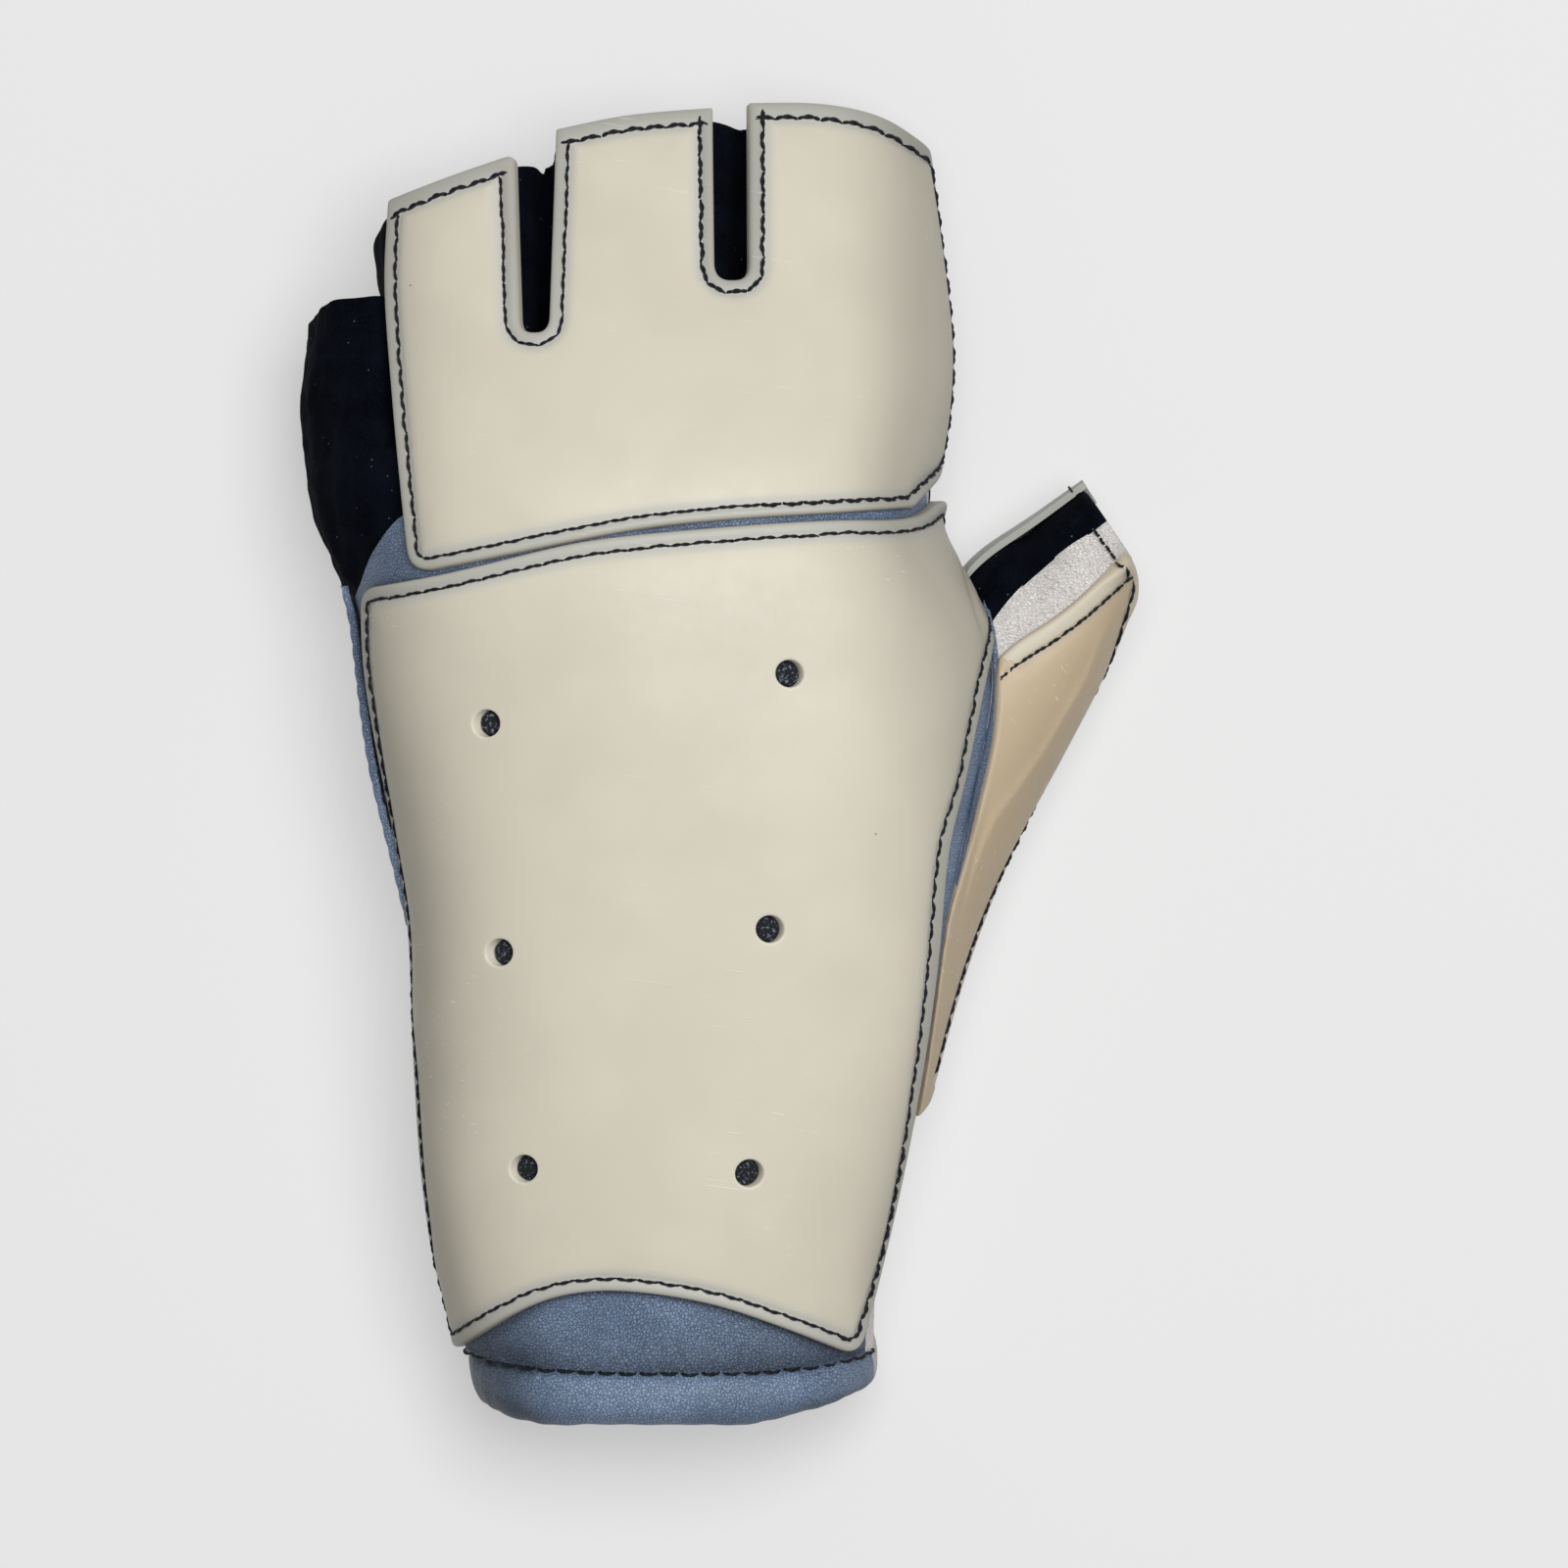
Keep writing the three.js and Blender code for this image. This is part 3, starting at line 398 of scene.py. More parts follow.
# The thumb's maps: the lengths along them are measured midway between two lines on the thumb's upper side.
MAP_PLACES = np.arange(-1.0, 6.8, 0.05)
MAP_LENGTHS = lengths_along(sum(thumb_point(np.full(len(MAP_PLACES), turn), MAP_PLACES) for turn in (0.4, 2.0)) / 2)
OUTER_TURNS = np.arange(-100, 140.5, 0.5) * DEG
THUMB_MAP = Map(thumb_skin, OUTER_TURNS, MAP_PLACES, MAP_LENGTHS, turn=-1)
THUMB_PLATE_MAP = Map(flared, OUTER_TURNS, MAP_PLACES, MAP_LENGTHS, turn=-1)


def hand_spot(points):
    """The hand map's points of plan points x, y on the plates' outer face. A point past the widest line lies as far
    down the side as it is past it."""
    angle, station, past = on_back(points)
    spot = HAND_MAP.to_map(angle, station)
    return spot + np.stack([past, 0 * past], axis=-1)


def thumb_spot(points):
    """The thumb plate map's points of section places and angles in degrees."""
    return THUMB_PLATE_MAP.to_map(points[:, 1] * DEG, points[:, 0])


OUTLINE_STEP = 0.5
OUTLINE_SPREAD = 3.0


def outline(rows, spot):
    """A closed outline on a map, anticlockwise, with the seam's inset at each point. Between two corners runs a
    smooth curve through the rows, laid on the map and evened by a bell curve. At a corner a curve of its radius joins
    the two, with the corner itself as its middle control point."""
    rows = np.asarray(rows, float)
    corners = np.flatnonzero(rows[:, 2] > 0)
    edges, sewn = [], []
    for first, last in zip(corners, np.roll(corners, -1)):
        number = (first + np.arange((last - first) % len(rows) + 1)) % len(rows)
        through = rows[number, :2]
        chord = lengths_along(spot(through))
        given = np.flatnonzero(rows[number[:-1], 3] > 0)
        sewn.append((chord[given] / chord[-1], rows[number[given], 3]) if len(given) else ([0], [0]))
        along = np.linspace(0, chord[-1], 8 + int(4 * chord[-1]))
        dense = spot(through_rows(np.column_stack([chord, through]), along))
        total = lengths_along(dense)[-1]
        even = at_lengths(dense, np.linspace(0, total, 2 + int(total / OUTLINE_STEP)))
        edges.append(blurred(even, OUTLINE_SPREAD / OUTLINE_STEP))
    radii, insets = rows[corners, 2], rows[corners, 3]
    cut = []
    for k, edge in enumerate(edges):
        run = lengths_along(edge)
        low = min(radii[k], 0.45 * run[-1])
        high = max(run[-1] - radii[(k + 1) % len(edges)], 0.55 * run[-1])
        cut.append(at_lengths(edge, np.linspace(low, high, 2 + int((high - low) / OUTLINE_STEP))))
    points, inset = [], []
    for k, edge in enumerate(cut):
        after = (k + 1) % len(cut)
        corner, radius = edges[k][-1], radii[after]
        f = np.linspace(0, 1, 2 + int(np.ceil(1.6 * radius / OUTLINE_STEP)))[1:-1, None]
        bend = (1 - f) ** 2 * edge[-1] + 2 * f * (1 - f) * corner + f**2 * cut[after][0]
        points += [edge, bend]
        along = np.interp(np.linspace(0, 1, len(edge)), *sewn[k])
        both = (insets[k] > 0) & (insets[after] > 0)
        inset += [along, np.where(f[:, 0] < 0.5, along[-1], insets[after]) * both]
    points, inset = np.concatenate(points), np.concatenate(inset)
    x, y = points.T
    if np.sum(x * np.roll(y, -1) - y * np.roll(x, -1)) < 0:
        points, inset = points[::-1], inset[::-1]
    return points, inset


# So many points are compared with all others in one go.
CHUNK = 4000


def nearest(points, targets):
    """Each point's distance to the nearest target, and that target's number."""
    found, which = [], []
    for start in range(0, len(points), CHUNK):
        part = points[start:start + CHUNK]
        square = ((part[:, None, :] - targets[None, :, :]) ** 2).sum(axis=2)
        best = square.argmin(axis=1)
        found.append(np.sqrt(square[np.arange(len(part)), best]))
        which.append(best)
    return np.concatenate(found), np.concatenate(which)


def inside(points, loops):
    """Whether each point of a map is inside the outer loop and outside the holes: a ray to the right crosses the
    loops an odd number of times."""
    result = []
    starts = np.concatenate(loops)
    ends = np.concatenate([np.roll(loop, -1, axis=0) for loop in loops])
    for start in range(0, len(points), CHUNK):
        x, y = points[start:start + CHUNK, 0:1], points[start:start + CHUNK, 1:2]
        straddles = (starts[:, 1] > y) != (ends[:, 1] > y)
        with np.errstate(divide="ignore", invalid="ignore"):
            cross = starts[:, 0] + (y - starts[:, 1]) / (ends[:, 1] - starts[:, 1]) * (ends[:, 0] - starts[:, 0])
        result.append((straddles & (x < cross)).sum(axis=1) % 2 == 1)
    return np.concatenate(result)


def inward(loop, distance):
    """A closed loop moved to its left by a distance, square to its own direction at each point."""
    way = unit(np.roll(loop, -1, axis=0) - np.roll(loop, 1, axis=0))
    return loop + np.stack([-way[:, 1], way[:, 0]], axis=-1) * np.asarray(distance)[..., None]


HONEYCOMB_RISE = 0.866


def filled(loops, spacing, rings):
    """A map area filled with triangles: the loops' own points, rows of points at the ring distances inside them, and
    an even honeycomb further in. The triangles join nearest points without crossing a loop."""
    border = np.concatenate(loops)
    layers = [border]
    for distance in rings:
        row = np.concatenate([inward(loop, np.full(len(loop), distance)) for loop in loops])
        row = row[:: 1 if distance < 1.5 else 2]
        row = row[nearest(row, border)[0] > distance * 0.97]
        layers.append(row[inside(row, loops)])
    low, high = loops[0].min(axis=0), loops[0].max(axis=0)
    rows = np.arange(low[1], high[1], spacing * HONEYCOMB_RISE)
    columns = np.arange(low[0], high[0], spacing)
    comb = np.stack(np.meshgrid(columns, rows), axis=-1)
    comb[1::2, :, 0] += spacing / 2
    comb = comb.reshape(-1, 2)
    comb = comb[inside(comb, loops)]
    margin = (rings[-1] if rings else 0) + 0.6 * spacing
    layers.append(comb[nearest(comb, border)[0] > margin])
    points = np.concatenate(layers)
    first, fences = 0, []
    for loop in loops:
        number = first + np.arange(len(loop))
        fences.append(np.stack([number, np.roll(number, -1)], axis=-1))
        first += len(loop)
    made = delaunay_2d_cdt([Vector(p) for p in points.tolist()], np.concatenate(fences).tolist(), [], 0, 1e-5)
    flat = np.array([p[:] for p in made[0]])
    triangles = np.array(made[2])
    keep = inside(flat[triangles].mean(axis=1), loops)
    triangles = triangles[keep]
    a, b, c = np.moveaxis(flat[triangles], 1, 0)
    turned = (b - a)[:, 0] * (c - a)[:, 1] - (b - a)[:, 1] * (c - a)[:, 0] < 0
    triangles[turned] = triangles[turned][:, ::-1]
    return flat, triangles


def border_edges(triangles):
    """The directed edges that only one triangle has."""
    edges = np.concatenate([triangles[:, [0, 1]], triangles[:, [1, 2]], triangles[:, [2, 0]]])
    size = triangles.max() + 1
    forward = edges[:, 0].astype(np.int64) * size + edges[:, 1]
    backward = edges[:, 1].astype(np.int64) * size + edges[:, 0]
    return edges[~np.isin(forward, backward)]


def move_points(mesh, points):
    """Puts points in millimetres into a mesh, none below the surface that the glove lies on."""
    points = np.maximum(points, [-np.inf, -np.inf, 0])
    mesh.vertices.foreach_set("co", (points * MM).astype(np.float32).ravel())


def make_piece(name, points, faces, finish, nodes=(), sharp=None, fields=None):
    """A mesh object from points in millimetres and arrays of faces, with fields as values on its points."""
    mesh = bpy.data.meshes.new(name)
    sizes = np.concatenate([np.full(len(f), f.shape[1]) for f in faces])
    corners = np.concatenate([f.ravel() for f in faces]).astype(np.int32)
    mesh.vertices.add(len(points))
    move_points(mesh, points)
    mesh.loops.add(len(corners))
    mesh.loops.foreach_set("vertex_index", corners)
    mesh.polygons.add(len(sizes))
    mesh.polygons.foreach_set("loop_start", np.concatenate([[0], np.cumsum(sizes)[:-1]]).astype(np.int32))
    mesh.update(calc_edges=True)
    mesh.validate()
    for key, values in (fields or {}).items():
        mesh.attributes.new(key, "FLOAT", "POINT").data.foreach_set("value", np.asarray(values, np.float32))
    mesh.shade_smooth()
    if sharp is not None:
        mesh.set_sharp_from_angle(angle=sharp * DEG)
    mesh.materials.append(finish)
    piece = bpy.data.objects.new(name, mesh)
    bpy.context.collection.objects.link(piece)
    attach(piece, "root")
    if nodes:
        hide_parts(*nodes)
    return piece


def vertex_arrays(mesh):
    """A mesh's points in millimetres and its outward directions."""
    points = np.empty(len(mesh.vertices) * 3, np.float32)
    mesh.vertices.foreach_get("co", points)
    normals = np.empty(len(mesh.vertices) * 3, np.float32)
    mesh.vertex_normals.foreach_get("vector", normals)
    return points.reshape(-1, 3).astype(float) / MM, normals.reshape(-1, 3).astype(float)


# Edges that turn by more degrees than this are shaded as sharp, and what a piece doesn't have is this far off.
SHARP = 50
FAR = 50.0


def layer(name, chart, loops, finish, nodes, top, bottom, spacing, rings, seams=(), measure=2.0, insets=None):
    """A closed layer on a map: its outer face is top(uv, edge) out from the surface, its inner face is at bottom, and
    a wall joins them along every border. edge holds true distances: rim to the outer border, hole to the nearest
    hole, seam to the nearest stitch line, and within, which is rim less the stitches' inset there, and positive all
    over where no stitches run. top may add a lean, painted shade that goes into the steep field, and other fields
    to edge."""
    uv, triangles = filled(loops, spacing, rings)
    here = chart.place(uv, measure)
    rim, which = nearest(here, chart.place(loops[0], measure))
    edge = {"rim": rim, "within": rim if insets is None else rim - insets[which] + 3 * (insets[which] <= 0)}
    for key, lines in (("hole", loops[1:]), ("seam", seams)):
        edge[key] = nearest(here, chart.place(np.concatenate(lines), measure))[0] if lines else np.full(len(uv), FAR)
    points = np.concatenate([chart.place(uv, top(uv, edge)), chart.place(uv, bottom)])
    # steep grows as the face turns from upright, plus the lean; the plates' finish paints shade by it.
    edge["steep"] = edge.pop("lean", 0) + 1 - chart.normal(uv, measure)[:, 2]
    edges, count = border_edges(triangles), len(uv)
    walls = np.column_stack([edges[:, 0] + count, edges[:, 1] + count, edges[:, 1], edges[:, 0]])
    fields = {key: np.tile(values, 2) for key, values in edge.items()}
    make_piece(name, points, [triangles, triangles[:, ::-1] + count, walls], finish, nodes, SHARP, fields)


def grid_faces(rows, columns, wrap_rows=False, wrap_columns=False):
    """The four-sided faces of a grid of points."""
    i, j = np.meshgrid(np.arange(rows - (not wrap_rows)), np.arange(columns - (not wrap_columns)), indexing="ij")
    i, j = i.ravel(), j.ravel()
    k, m = (i + 1) % rows, (j + 1) % columns
    return np.column_stack([i * columns + j, i * columns + m, k * columns + m, k * columns + j])


def capped_tubes(rows, columns, count=1):
    """The faces of so many equal tubes whose points are numbered ring by ring: their sides and their two ends."""
    firsts = np.arange(count)[:, None, None] * rows * columns
    ends = np.stack([np.arange(columns)[::-1], np.arange(columns) + (rows - 1) * columns])
    return [(grid_faces(rows, columns, False, True) + firsts).reshape(-1, 4), (ends + firsts).reshape(-1, columns)]


def shell(name, outer, inner, finish, nodes, fields=None):
    """A closed wall between two grids of points, outer and inner, joined by a strip round their border. Rows run
    along the piece and columns across it. fields has one value for the whole piece under each name."""
    rows, columns = outer.shape[:2]
    count = rows * columns
    front = grid_faces(rows, columns)
    number = np.arange(count).reshape(rows, columns)
    loop = np.concatenate([number[0], number[1:, -1], number[-1, -2::-1], number[-2::-1, 0]])
    strip = np.column_stack([loop[:-1] + count, loop[1:] + count, loop[1:], loop[:-1]])
    points = np.concatenate([outer.reshape(-1, 3), inner.reshape(-1, 3)])
    values = {key: np.full(2 * count, value) for key, value in (fields or {}).items()}
    make_piece(name, points, [front, front[:, ::-1] + count, strip], finish, nodes, SHARP, values)


# Stitches: the distance from one to the next, a strand's radius, its turns round the other strand, how high a stitch
# arches, how unevenly it is sewn, and the points along and round a strand.
PITCH = 3.9
STRAND = 0.205
STRAND_TURNS = 1.1
STITCH_RISE = 0.28
UNEVEN = 0.05
STRAND_POINTS, STRAND_SIDES = 8, 5
# Rows of stitches: how far another point's inset may be overrun, the turn in degrees that parts a row, and the length
# below which a row is left out.
SEAM_SLACK = 0.06
SHARP_CORNER = 40
SHORTEST_ROW = 1.5


def seam_lines(loop, inset):
    """The stitch lines of an outline: each point moved in by its inset, kept only where no other point's inset is
    overrun, and cut into lines at sharp corners. A closed line ends where it starts."""
    moved = inward(loop, inset)
    gaps = np.linalg.norm(moved[:, None, :] - loop[None, :, :], axis=2) - inset[None, :]
    keep = (gaps.min(axis=1) > -SEAM_SLACK) & (inset > 0)
    if not keep.all():
        start = np.flatnonzero(~keep & np.roll(keep, -1))[0] + 1
        moved, keep, inset = (np.roll(a, -start, axis=0) for a in (moved, keep, inset))
    sewn = np.cumsum(inset <= 0)[keep]
    moved = moved[keep]
    before = unit(moved - np.roll(moved, 3, axis=0))
    after = unit(np.roll(moved, -3, axis=0) - moved)
    turn = np.degrees(np.arccos(np.clip((before * after).sum(axis=1), -1, 1)))
    breaks = sewn != np.roll(sewn, 1)
    breaks[0] = sewn[0] + np.sum(inset <= 0) > sewn[-1]
    turn = np.where(breaks, 180, np.where(np.roll(breaks, 1) | np.roll(breaks, -1), 0, turn))
    peaks = np.flatnonzero((turn > SHARP_CORNER) & (turn >= np.roll(turn, 1)) & (turn > np.roll(turn, -1)))
    if len(peaks) == 0:
        return [np.vstack([moved, moved[:1]])]
    lines = []
    for first, last in zip(peaks, np.roll(peaks, -1)):
        count = (last - first) % len(moved) or len(moved)
        lines.append(moved[(first + np.arange(count + (not breaks[last]))) % len(moved)])
    return [line for line in lines if lengths_along(line)[-1] > SHORTEST_ROW]


def stitches(name, chart, lines, height, seed, pitch=PITCH, strand=STRAND, bow=0.2, sink=0.12, gap=0.0, weight=None):
    """Rows of stitches along lines of a map. Each stitch is two strands that wind round each other while they bow out
    of the line and arch over the surface by half a sine, and dive into it at both ends. height is a number, or
    height(uv) gives one for each point. gap is the share of the step that a stitch leaves free. weight(line, uv)
    gives how much heavier a stitch is, which also makes it shorter and more bowed."""
    draw = np.random.default_rng(seed)
    f = np.linspace(0, 1, STRAND_POINTS)
    sides = np.arange(STRAND_SIDES) * (2 * np.pi / STRAND_SIDES)
    starts, spans, owners, weights = [], [], [], []
    for k, line in enumerate(lines):
        total = lengths_along(line)[-1]
        count = max(1, int(round(total / pitch)))
        step = total / count
        heavy = weight(line, at_lengths(line, (np.arange(count) + 0.5) * step)) if weight else np.ones(count)
        starts.append(np.arange(count) * step)
        spans.append((1.02 - gap - 0.1 * (heavy - 1)) * step)
        owners.append(np.full(count, k))
        weights.append(heavy)
    starts, spans, owners, weights = map(np.concatenate, (starts, spans, owners, weights))
    count = len(starts)
    starts = starts + draw.normal(0, UNEVEN, count)
    uv = np.empty((count, len(f), 2))
    for k, line in enumerate(lines):
        mine = owners == k
        run = (starts[mine, None] + spans[mine, None] * f).ravel()
        uv[mine] = at_lengths(line, run).reshape(-1, len(f), 2)
    flat = uv.reshape(-1, 2)
    base = chart.place(flat, height(flat) if callable(height) else height).reshape(count, len(f), 3)
    out = chart.normal(flat, 2.0).reshape(count, len(f), 3)
    way = unit(np.gradient(base, axis=1))
    aside = unit(np.cross(out, way))
    arch = np.sin(np.pi * f) ** 0.7
    side = (bow * weights**2 + draw.normal(0, UNEVEN, count))[:, None] * np.sin(np.pi * f)
    side = side + draw.normal(0, UNEVEN, count)[:, None]
    lift = -sink * (1 - arch) ** 2 + (STITCH_RISE + draw.normal(0, 0.6 * UNEVEN, count))[:, None] * arch
    middle = base + out * lift[..., None] - aside * side[..., None]
    spin = 2 * np.pi * STRAND_TURNS * f + draw.uniform(0, 2 * np.pi, count)[:, None]
    thick = strand * weights[:, None] * (0.72 + 0.28 * np.sin(np.pi * f) ** 0.5)
    points = []
    for phase in (0, np.pi):
        centre = middle + 0.8 * thick[..., None] * (
            aside * np.cos(spin + phase)[..., None] + out * np.sin(spin + phase)[..., None])
        ring = aside[:, :, None] * np.cos(sides)[:, None] + out[:, :, None] * np.sin(sides)[:, None]
        points.append(centre[:, :, None] + ring * thick[:, :, None, None])
    faces = capped_tubes(STRAND_POINTS, STRAND_SIDES, 2 * count)
    make_piece(name, np.stack(points, axis=1).reshape(-1, 3), faces, THREAD)


# Materials.
class Finish:
    """A material's nodes round one Principled shader. Places are the object's own coordinates in millimetres."""

    def __init__(self, name, **sockets):
        self.material = bpy.data.materials.new(name)
        self.material.use_nodes = True
        self.tree = self.material.node_tree
        self.shader = self.tree.nodes["Principled BSDF"]
        for socket, value in sockets.items():
            self.shader.inputs[socket.replace("_", " ")].default_value = value
        where = self.tree.nodes.new("ShaderNodeTexCoord")
        self.place = self.math("SCALE", where.outputs["Object"], scale=1 / MM)

    def put(self, kind, inputs=(), **settings):
        """A node with its settings, whose inputs are linked or set by number or name."""
        node = self.tree.nodes.new(kind)
        for key, value in settings.items():
            setattr(node, key, value)
        for key, value in dict(inputs).items():
            if isinstance(value, bpy.types.NodeSocket):
                self.tree.links.new(value, node.inputs[key])
            else:
                node.inputs[key].default_value = value
        return node

    def math(self, operation, a, b=None, scale=None):
        """A vector's sum, product or scaling."""
        inputs = {0: a}
        if b is not None:
            inputs[1] = b
        if scale is not None:
            inputs["Scale"] = scale
        return self.put("ShaderNodeVectorMath", inputs, operation=operation).outputs[0]

    def calc(self, operation, a, b):
        """A number worked out from two."""
        return self.put("ShaderNodeMath", {0: a, 1: b}, operation=operation).outputs[0]

    def turned(self, degrees=(0, 0, 0), scale=(1, 1, 1)):
        """The place, turned and then stretched: a larger scale makes a pattern finer."""
        turn = self.put("ShaderNodeMapping", {0: self.place, "Rotation": [d * DEG for d in degrees]})
        return self.put("ShaderNodeMapping", {0: turn.outputs[0], "Scale": scale}).outputs[0]

    def noise(self, size, place=None, detail=3.0, rough=0.5, distort=0.0):
        """Smooth random values whose lumps are about size across."""
        inputs = {"Vector": place or self.place, "Scale": 1 / size, "Detail": detail, "Roughness": rough,
                  "Distortion": distort}
        return self.put("ShaderNodeTexNoise", inputs).outputs["Fac"]

    def cells(self, size, place=None, feature="F1"):
        """Distance to the nearest of scattered points, or to the cell's edge, in cells about size across."""
        inputs = {"Vector": place or self.place, "Scale": 1 / size}
        return self.put("ShaderNodeTexVoronoi", inputs, feature=feature).outputs["Distance"]

    def step(self, value, low, high, a=0.0, b=1.0, smooth=True):
        """a below low and b above high, with a smooth turn between."""
        kind = "SMOOTHSTEP" if smooth else "LINEAR"
        node = self.put("ShaderNodeMapRange", {0: value, 1: low, 2: high, 3: a, 4: b}, interpolation_type=kind)
        return node.outputs[0]

    def field(self, name):
        """The piece's own values on its points."""
        return self.put("ShaderNodeAttribute", attribute_name=name).outputs["Fac"]

    def mixed(self, share, a, b):
        """Two colours mixed by a share from 0 to 1."""
        a, b = (c if isinstance(c, bpy.types.NodeSocket) else (*c, 1) for c in (a, b))
        return self.put("ShaderNodeMix", {0: share, 6: a, 7: b}, data_type="RGBA").outputs[2]

    def set(self, socket, value):
        """Links a value to one of the shader's own inputs."""
        self.tree.links.new(value, self.shader.inputs[socket])

    def bump(self, height, depth, under=None):
        """Relief of a depth in millimetres, over another."""
        inputs = {"Height": height, "Distance": depth * MM, "Strength": 1.0}
        if under is not None:
            inputs["Normal"] = under
        return self.put("ShaderNodeBump", inputs).outputs[0]


def colour(red, green, blue):
    """A colour read from the photo's 0 to 255 scale, in the linear scale that the shader takes."""
    value = np.array([red, green, blue]) / 255
    return tuple(np.where(value <= 0.04045, value / 12.92, ((value + 0.055) / 1.055) ** 2.4).tolist())


def times(tone, *factors):
    """A colour with all its parts multiplied by one factor, or each by its own."""
    return tuple((np.array(tone) * factors).tolist())


BEVEL_TONE, SPECK_TONE, MARK_TONE = colour(228, 222, 208), (0.03, 0.025, 0.02), (0.86, 0.84, 0.78)
THREAD_TONES = (0.002, 0.003, 0.006), (0.008, 0.009, 0.016)
LINING_TONES = (0.003, 0.004, 0.007), (0.13, 0.16, 0.21)


def plate_finish(name, body, edge, groove_shade, scratch_turn, side_shade=0.5):
    """Moulded plate: a clouded body with painted shade down its steep sides, painted shade in a band just inside
    the stitches, the edge's tone in the rim beyond them with painted shade that makes it darker at the fingertips
    than on the hand, warmer at its very edge, a pale bevel at the holes, rare specks, long fine scratches turned by
    degrees and a satin gloss that varies."""
    f = Finish(name, Roughness=0.5, Specular_IOR_Level=0.25, Coat_Weight=0.06, Coat_Roughness=0.25,
               Subsurface_Weight=0.12, Subsurface_Scale=0.002, Subsurface_Radius=(1.0, 0.8, 0.55))
    within = f.field("within")
    cloud = f.noise(22, detail=2.0)
    tone = f.mixed(f.step(cloud, 0.35, 0.65), times(body, 0.97), times(body, 1.02))
    # Painted shade in the groove's band just inside the stitches.
    tone = f.mixed(f.step(within, 0.1, 2.6, 0.6, 0.0), tone, groove_shade)
    towards_tips = f.put("ShaderNodeSeparateXYZ", {0: f.place}).outputs[1]
    # Painted shade: the rim is paler on the hand and darker towards the fingertips.
    rim = f.mixed(f.step(towards_tips, 60, 105), times(edge, 1.14), times(edge, 0.92))
    tone = f.mixed(f.step(within, -0.5, 0.3, 0.95, 0.0), tone, rim)
    tone = f.mixed(f.step(f.field("rim"), 0.0, 0.8, 0.5, 0.0), tone, times(edge, 1.2, 1.08, 1.0))
    tone = f.mixed(f.step(f.field("hole"), 0.1, 0.6, 0.35, 0.0), tone, BEVEL_TONE)
    specks = f.calc("MULTIPLY", f.step(f.cells(13.0), 0.010, 0.018, 1.0, 0.0), 0.8)
    tone = f.mixed(specks, tone, SPECK_TONE)
    # Painted shade down the steep sides, by the steep field, which takes in each plate's lean.
    tone = f.mixed(f.step(f.field("steep"), 0.0, 0.45, 0.0, side_shade), tone, times(body, 0.3))
    long_marks = f.noise(1.0, f.turned((0, 0, scratch_turn), (0.035, 2.2, 1.0)), detail=1.0)
    patches = f.step(f.noise(30, detail=1.0), 0.52, 0.62)
    marks = f.calc("MULTIPLY", f.step(long_marks, 0.70, 0.76), patches)
    tone = f.mixed(f.calc("MULTIPLY", marks, 0.35), tone, MARK_TONE)
    f.set("Base Color", tone)
    dull = f.noise(3.0, detail=4.0, rough=0.6)
    f.set("Roughness", f.calc("ADD", f.step(dull, 0.3, 0.7, 0.42, 0.52), f.calc("MULTIPLY", marks, 0.15)))
    wavy = f.bump(f.noise(9.0, detail=1.0), 0.06)
    wavy = f.bump(f.noise(0.7, detail=2.0), 0.006, under=wavy)
    f.set("Normal", f.bump(marks, 0.03, under=wavy))
    return f.material


def leather_finish(name, body, dark, light, grain, depth, turn=(0, 0, 0), scale=(1, 1, 1), rough=0.5,
                   wrinkles=0.2):
    """Grained leather: pebbles of two sizes parted by fine creases, darker in the creases and paler on worn pebbles,
    with slow changes of tone and long soft wrinkles. The field shade paints shade above 0 and light below 0."""
    f = Finish(name, Roughness=rough, Coat_Weight=0.08, Coat_Roughness=0.35)
    place = f.turned(turn, scale)
    bent = f.put("ShaderNodeTexNoise", {"Vector": place, "Scale": 1 / (2.5 * grain), "Detail": 2.0}).outputs["Color"]
    moved = f.math("ADD", place, f.math("SCALE", bent, scale=1.2 * grain))
    pebbles = f.cells(grain, moved, "DISTANCE_TO_EDGE")
    crease = f.step(pebbles, 0.0, 0.16)
    small = f.noise(grain * 0.45, place, detail=4.0, rough=0.6)
    cloud = f.noise(14, detail=3.0)
    tone = f.mixed(f.step(cloud, 0.3, 0.7), dark, body)
    tone = f.mixed(f.step(crease, 0.0, 1.0, 0.3, 0.0), tone, times(dark, 0.55))
    # Painted light where the shade field is below 0, painted shade where it is above 0.
    tone = f.mixed(f.step(f.field("shade"), -1.0, 0.0, 1.0, 0.0, smooth=False), tone, light)
    tone = f.mixed(f.step(f.field("shade"), 0.0, 1.0, 0.0, 1.0, smooth=False), tone, times(dark, 0.3))
    fleck = f.calc("MULTIPLY", f.step(small, 0.60, 0.70), f.step(f.noise(5.0), 0.45, 0.6))
    tone = f.mixed(f.calc("MULTIPLY", fleck, 0.2), tone, light)
    f.set("Base Color", tone)
    f.set("Roughness", f.step(small, 0.3, 0.7, rough - 0.06, rough + 0.10))
    wrinkle = f.noise(6.0, place, detail=3.0, distort=1.2)
    relief = f.bump(wrinkle, wrinkles)
    gathered = f.noise(1.6, f.turned((0, 0, 0), (1.0, 0.22, 1.0)), detail=3.0, distort=0.6)
    relief = f.bump(f.calc("MULTIPLY", gathered, f.field("pucker")), 0.9, under=relief)
    relief = f.bump(crease, depth, under=relief)
    f.set("Normal", f.bump(small, depth * 0.8, under=relief))
    return f.material


